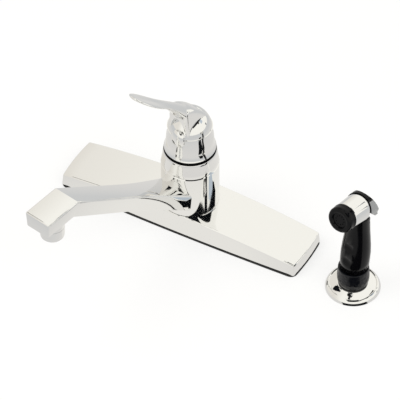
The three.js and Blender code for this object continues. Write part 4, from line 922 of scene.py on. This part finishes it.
def glowPaint(name, colour, strength=1):
    made = bpy.data.materials.new(name)
    made.use_nodes = True
    tree = made.node_tree
    tree.nodes.remove(tree.nodes["Principled BSDF"])
    glow = addNode(tree, "ShaderNodeEmission", {"Color": linear(colour), "Strength": strength})
    tree.links.new(glow.outputs[0], tree.nodes["Material Output"].inputs[0])
    return made


def makeFloor():
    bpy.ops.mesh.primitive_plane_add(size=studio["floorSize"], location=(0, 0, 0))
    floor = bpy.context.object
    floor.name = "floor"
    made = bpy.data.materials.new("whiteSweep")
    made.use_nodes = True
    tree = made.node_tree
    rays = addNode(tree, "ShaderNodeLightPath")
    white = addNode(tree, "ShaderNodeEmission", {"Color": (1, 1, 1, 1), "Strength": 1})
    # in the chrome the sweep is paler near the set and cooler far off
    spot = addNode(tree, "ShaderNodeTexCoord")
    away = addNode(tree, "ShaderNodeVectorMath", {"operation": "LENGTH"})
    tree.links.new(spot.outputs["Object"], away.inputs[0])
    fade = addNode(tree, "ShaderNodeValToRGB", None, {"Fac": away.outputs["Value"]})
    fade.color_ramp.elements[0].position, fade.color_ramp.elements[0].color = 0.08, linear("#EFEDE8")
    fade.color_ramp.elements[1].position, fade.color_ramp.elements[1].color = 0.5, linear("#D0D1D1")
    fade.color_ramp.elements.new(0.17).color = linear("#E0DEDB")
    # and a painted dark strip runs off to the right, seen only in reflections, where it darkens the handle's
    # skirt
    turned = addNode(tree, "ShaderNodeVectorRotate",
                     {"rotation_type": "Z_AXIS", "Angle": math.radians(studio["strip"])},
                     {"Vector": spot.outputs["Object"]})
    parts = addNode(tree, "ShaderNodeSeparateXYZ", None, {"Vector": turned.outputs["Vector"]})
    across = addNode(tree, "ShaderNodeMath", {"operation": "COMPARE"})
    tree.links.new(parts.outputs["X"], across.inputs[0])
    across.inputs[1].default_value, across.inputs[2].default_value = 0, 0.035
    along = addNode(tree, "ShaderNodeMath", {"operation": "COMPARE"})
    tree.links.new(parts.outputs["Y"], along.inputs[0])
    along.inputs[1].default_value, along.inputs[2].default_value = -0.3, 0.11
    paintedStripMask = addNode(tree, "ShaderNodeMath", {"operation": "MULTIPLY"})
    tree.links.new(across.outputs[0], paintedStripMask.inputs[0])
    tree.links.new(along.outputs[0], paintedStripMask.inputs[1])
    tone = addNode(tree, "ShaderNodeMix", {"data_type": "RGBA"},
                   {"Factor": paintedStripMask.outputs[0], "A": fade.outputs["Color"]})
    tone.inputs["B"].default_value = linear("#121416")
    grey = addNode(tree, "ShaderNodeEmission", {"Strength": 1}, {"Color": tone.outputs["Result"]})
    paint = tree.nodes["Principled BSDF"]
    mirrored = addNode(tree, "ShaderNodeMixShader", None, {"Fac": rays.outputs["Is Glossy Ray"]})
    tree.links.new(paint.outputs[0], mirrored.inputs[1])
    tree.links.new(grey.outputs[0], mirrored.inputs[2])
    # to the camera it is white, with some of its own shade left so that shadows stay
    share = addNode(tree, "ShaderNodeMath", {"operation": "MULTIPLY"})
    tree.links.new(rays.outputs["Is Camera Ray"], share.inputs[0])
    share.inputs[1].default_value = studio["glow"]
    seen = addNode(tree, "ShaderNodeMixShader", None, {"Fac": share.outputs[0]})
    tree.links.new(mirrored.outputs[0], seen.inputs[1])
    tree.links.new(white.outputs[0], seen.inputs[2])
    tree.links.new(seen.outputs[0], tree.nodes["Material Output"].inputs[0])
    floor.data.materials.append(made)


def makeBoards():
    for k, (azimuth, elevation, wide, high, far, colour) in enumerate(studio["boards"]):
        a, e = math.radians(azimuth), math.radians(elevation)
        direction = Vector((math.sin(a) * math.cos(e), -math.cos(a) * math.cos(e), math.sin(e)))
        bpy.ops.mesh.primitive_grid_add(x_subdivisions=16, y_subdivisions=8, size=1, location=direction * far)
        board = bpy.context.object
        board.name = "board%d" % k
        board.scale = (2 * far * math.cos(e) * math.tan(math.radians(wide / 2)),
                       2 * far * math.tan(math.radians(high / 2)), 1)
        board.rotation_mode = "QUATERNION"
        board.rotation_quaternion = direction.to_track_quat("Z", "Y")
        board.data.materials.append(glowPaint("boardPaint%d" % k, colour))
        board.visible_camera = board.visible_diffuse = board.visible_shadow = False


def makeLights():
    for spot, size, watts in studio["lamps"]:
        bpy.ops.object.light_add(type="AREA", location=spot)
        lamp = bpy.context.object
        lamp.data.size = size
        lamp.data.energy = watts
        lamp.visible_glossy = False  # the chrome shows the room, not the lamps
        lamp.rotation_euler = (-Vector(spot)).to_track_quat("-Z", "Y").to_euler()
    world = bpy.data.worlds.new("creamRoom")
    world.use_nodes = True
    tree = world.node_tree
    # paler towards +X
    direction = addNode(tree, "ShaderNodeTexCoord")
    parts = addNode(tree, "ShaderNodeSeparateXYZ", None, {"Vector": direction.outputs["Generated"]})
    shift = addNode(tree, "ShaderNodeMath", {"operation": "MULTIPLY_ADD"})
    tree.links.new(parts.outputs["X"], shift.inputs[0])
    shift.inputs[1].default_value, shift.inputs[2].default_value = 1.4, 1
    fade = addNode(tree, "ShaderNodeValToRGB", None, {"Fac": shift.outputs[0]})
    fade.color_ramp.elements[0].position, fade.color_ramp.elements[0].color = 0.1, linear("#EAE6DE")
    fade.color_ramp.elements[1].position, fade.color_ramp.elements[1].color = 0.6, linear("#FFFDF6")
    room = tree.nodes["Background"]
    tree.links.new(fade.outputs["Color"], room.inputs["Color"])
    rays = addNode(tree, "ShaderNodeLightPath")
    white = addNode(tree, "ShaderNodeBackground", {"Color": (1, 1, 1, 1), "Strength": 1})
    seen = addNode(tree, "ShaderNodeMixShader", None, {"Fac": rays.outputs["Is Camera Ray"]})
    tree.links.new(room.outputs[0], seen.inputs[1])
    tree.links.new(white.outputs[0], seen.inputs[2])
    tree.links.new(seen.outputs[0], tree.nodes["World Output"].inputs[0])
    bpy.context.scene.world = world


makeFloor()
makeBoards()
makeLights()
bpy.context.scene.view_settings.view_transform = "Standard"
print("studio ready")
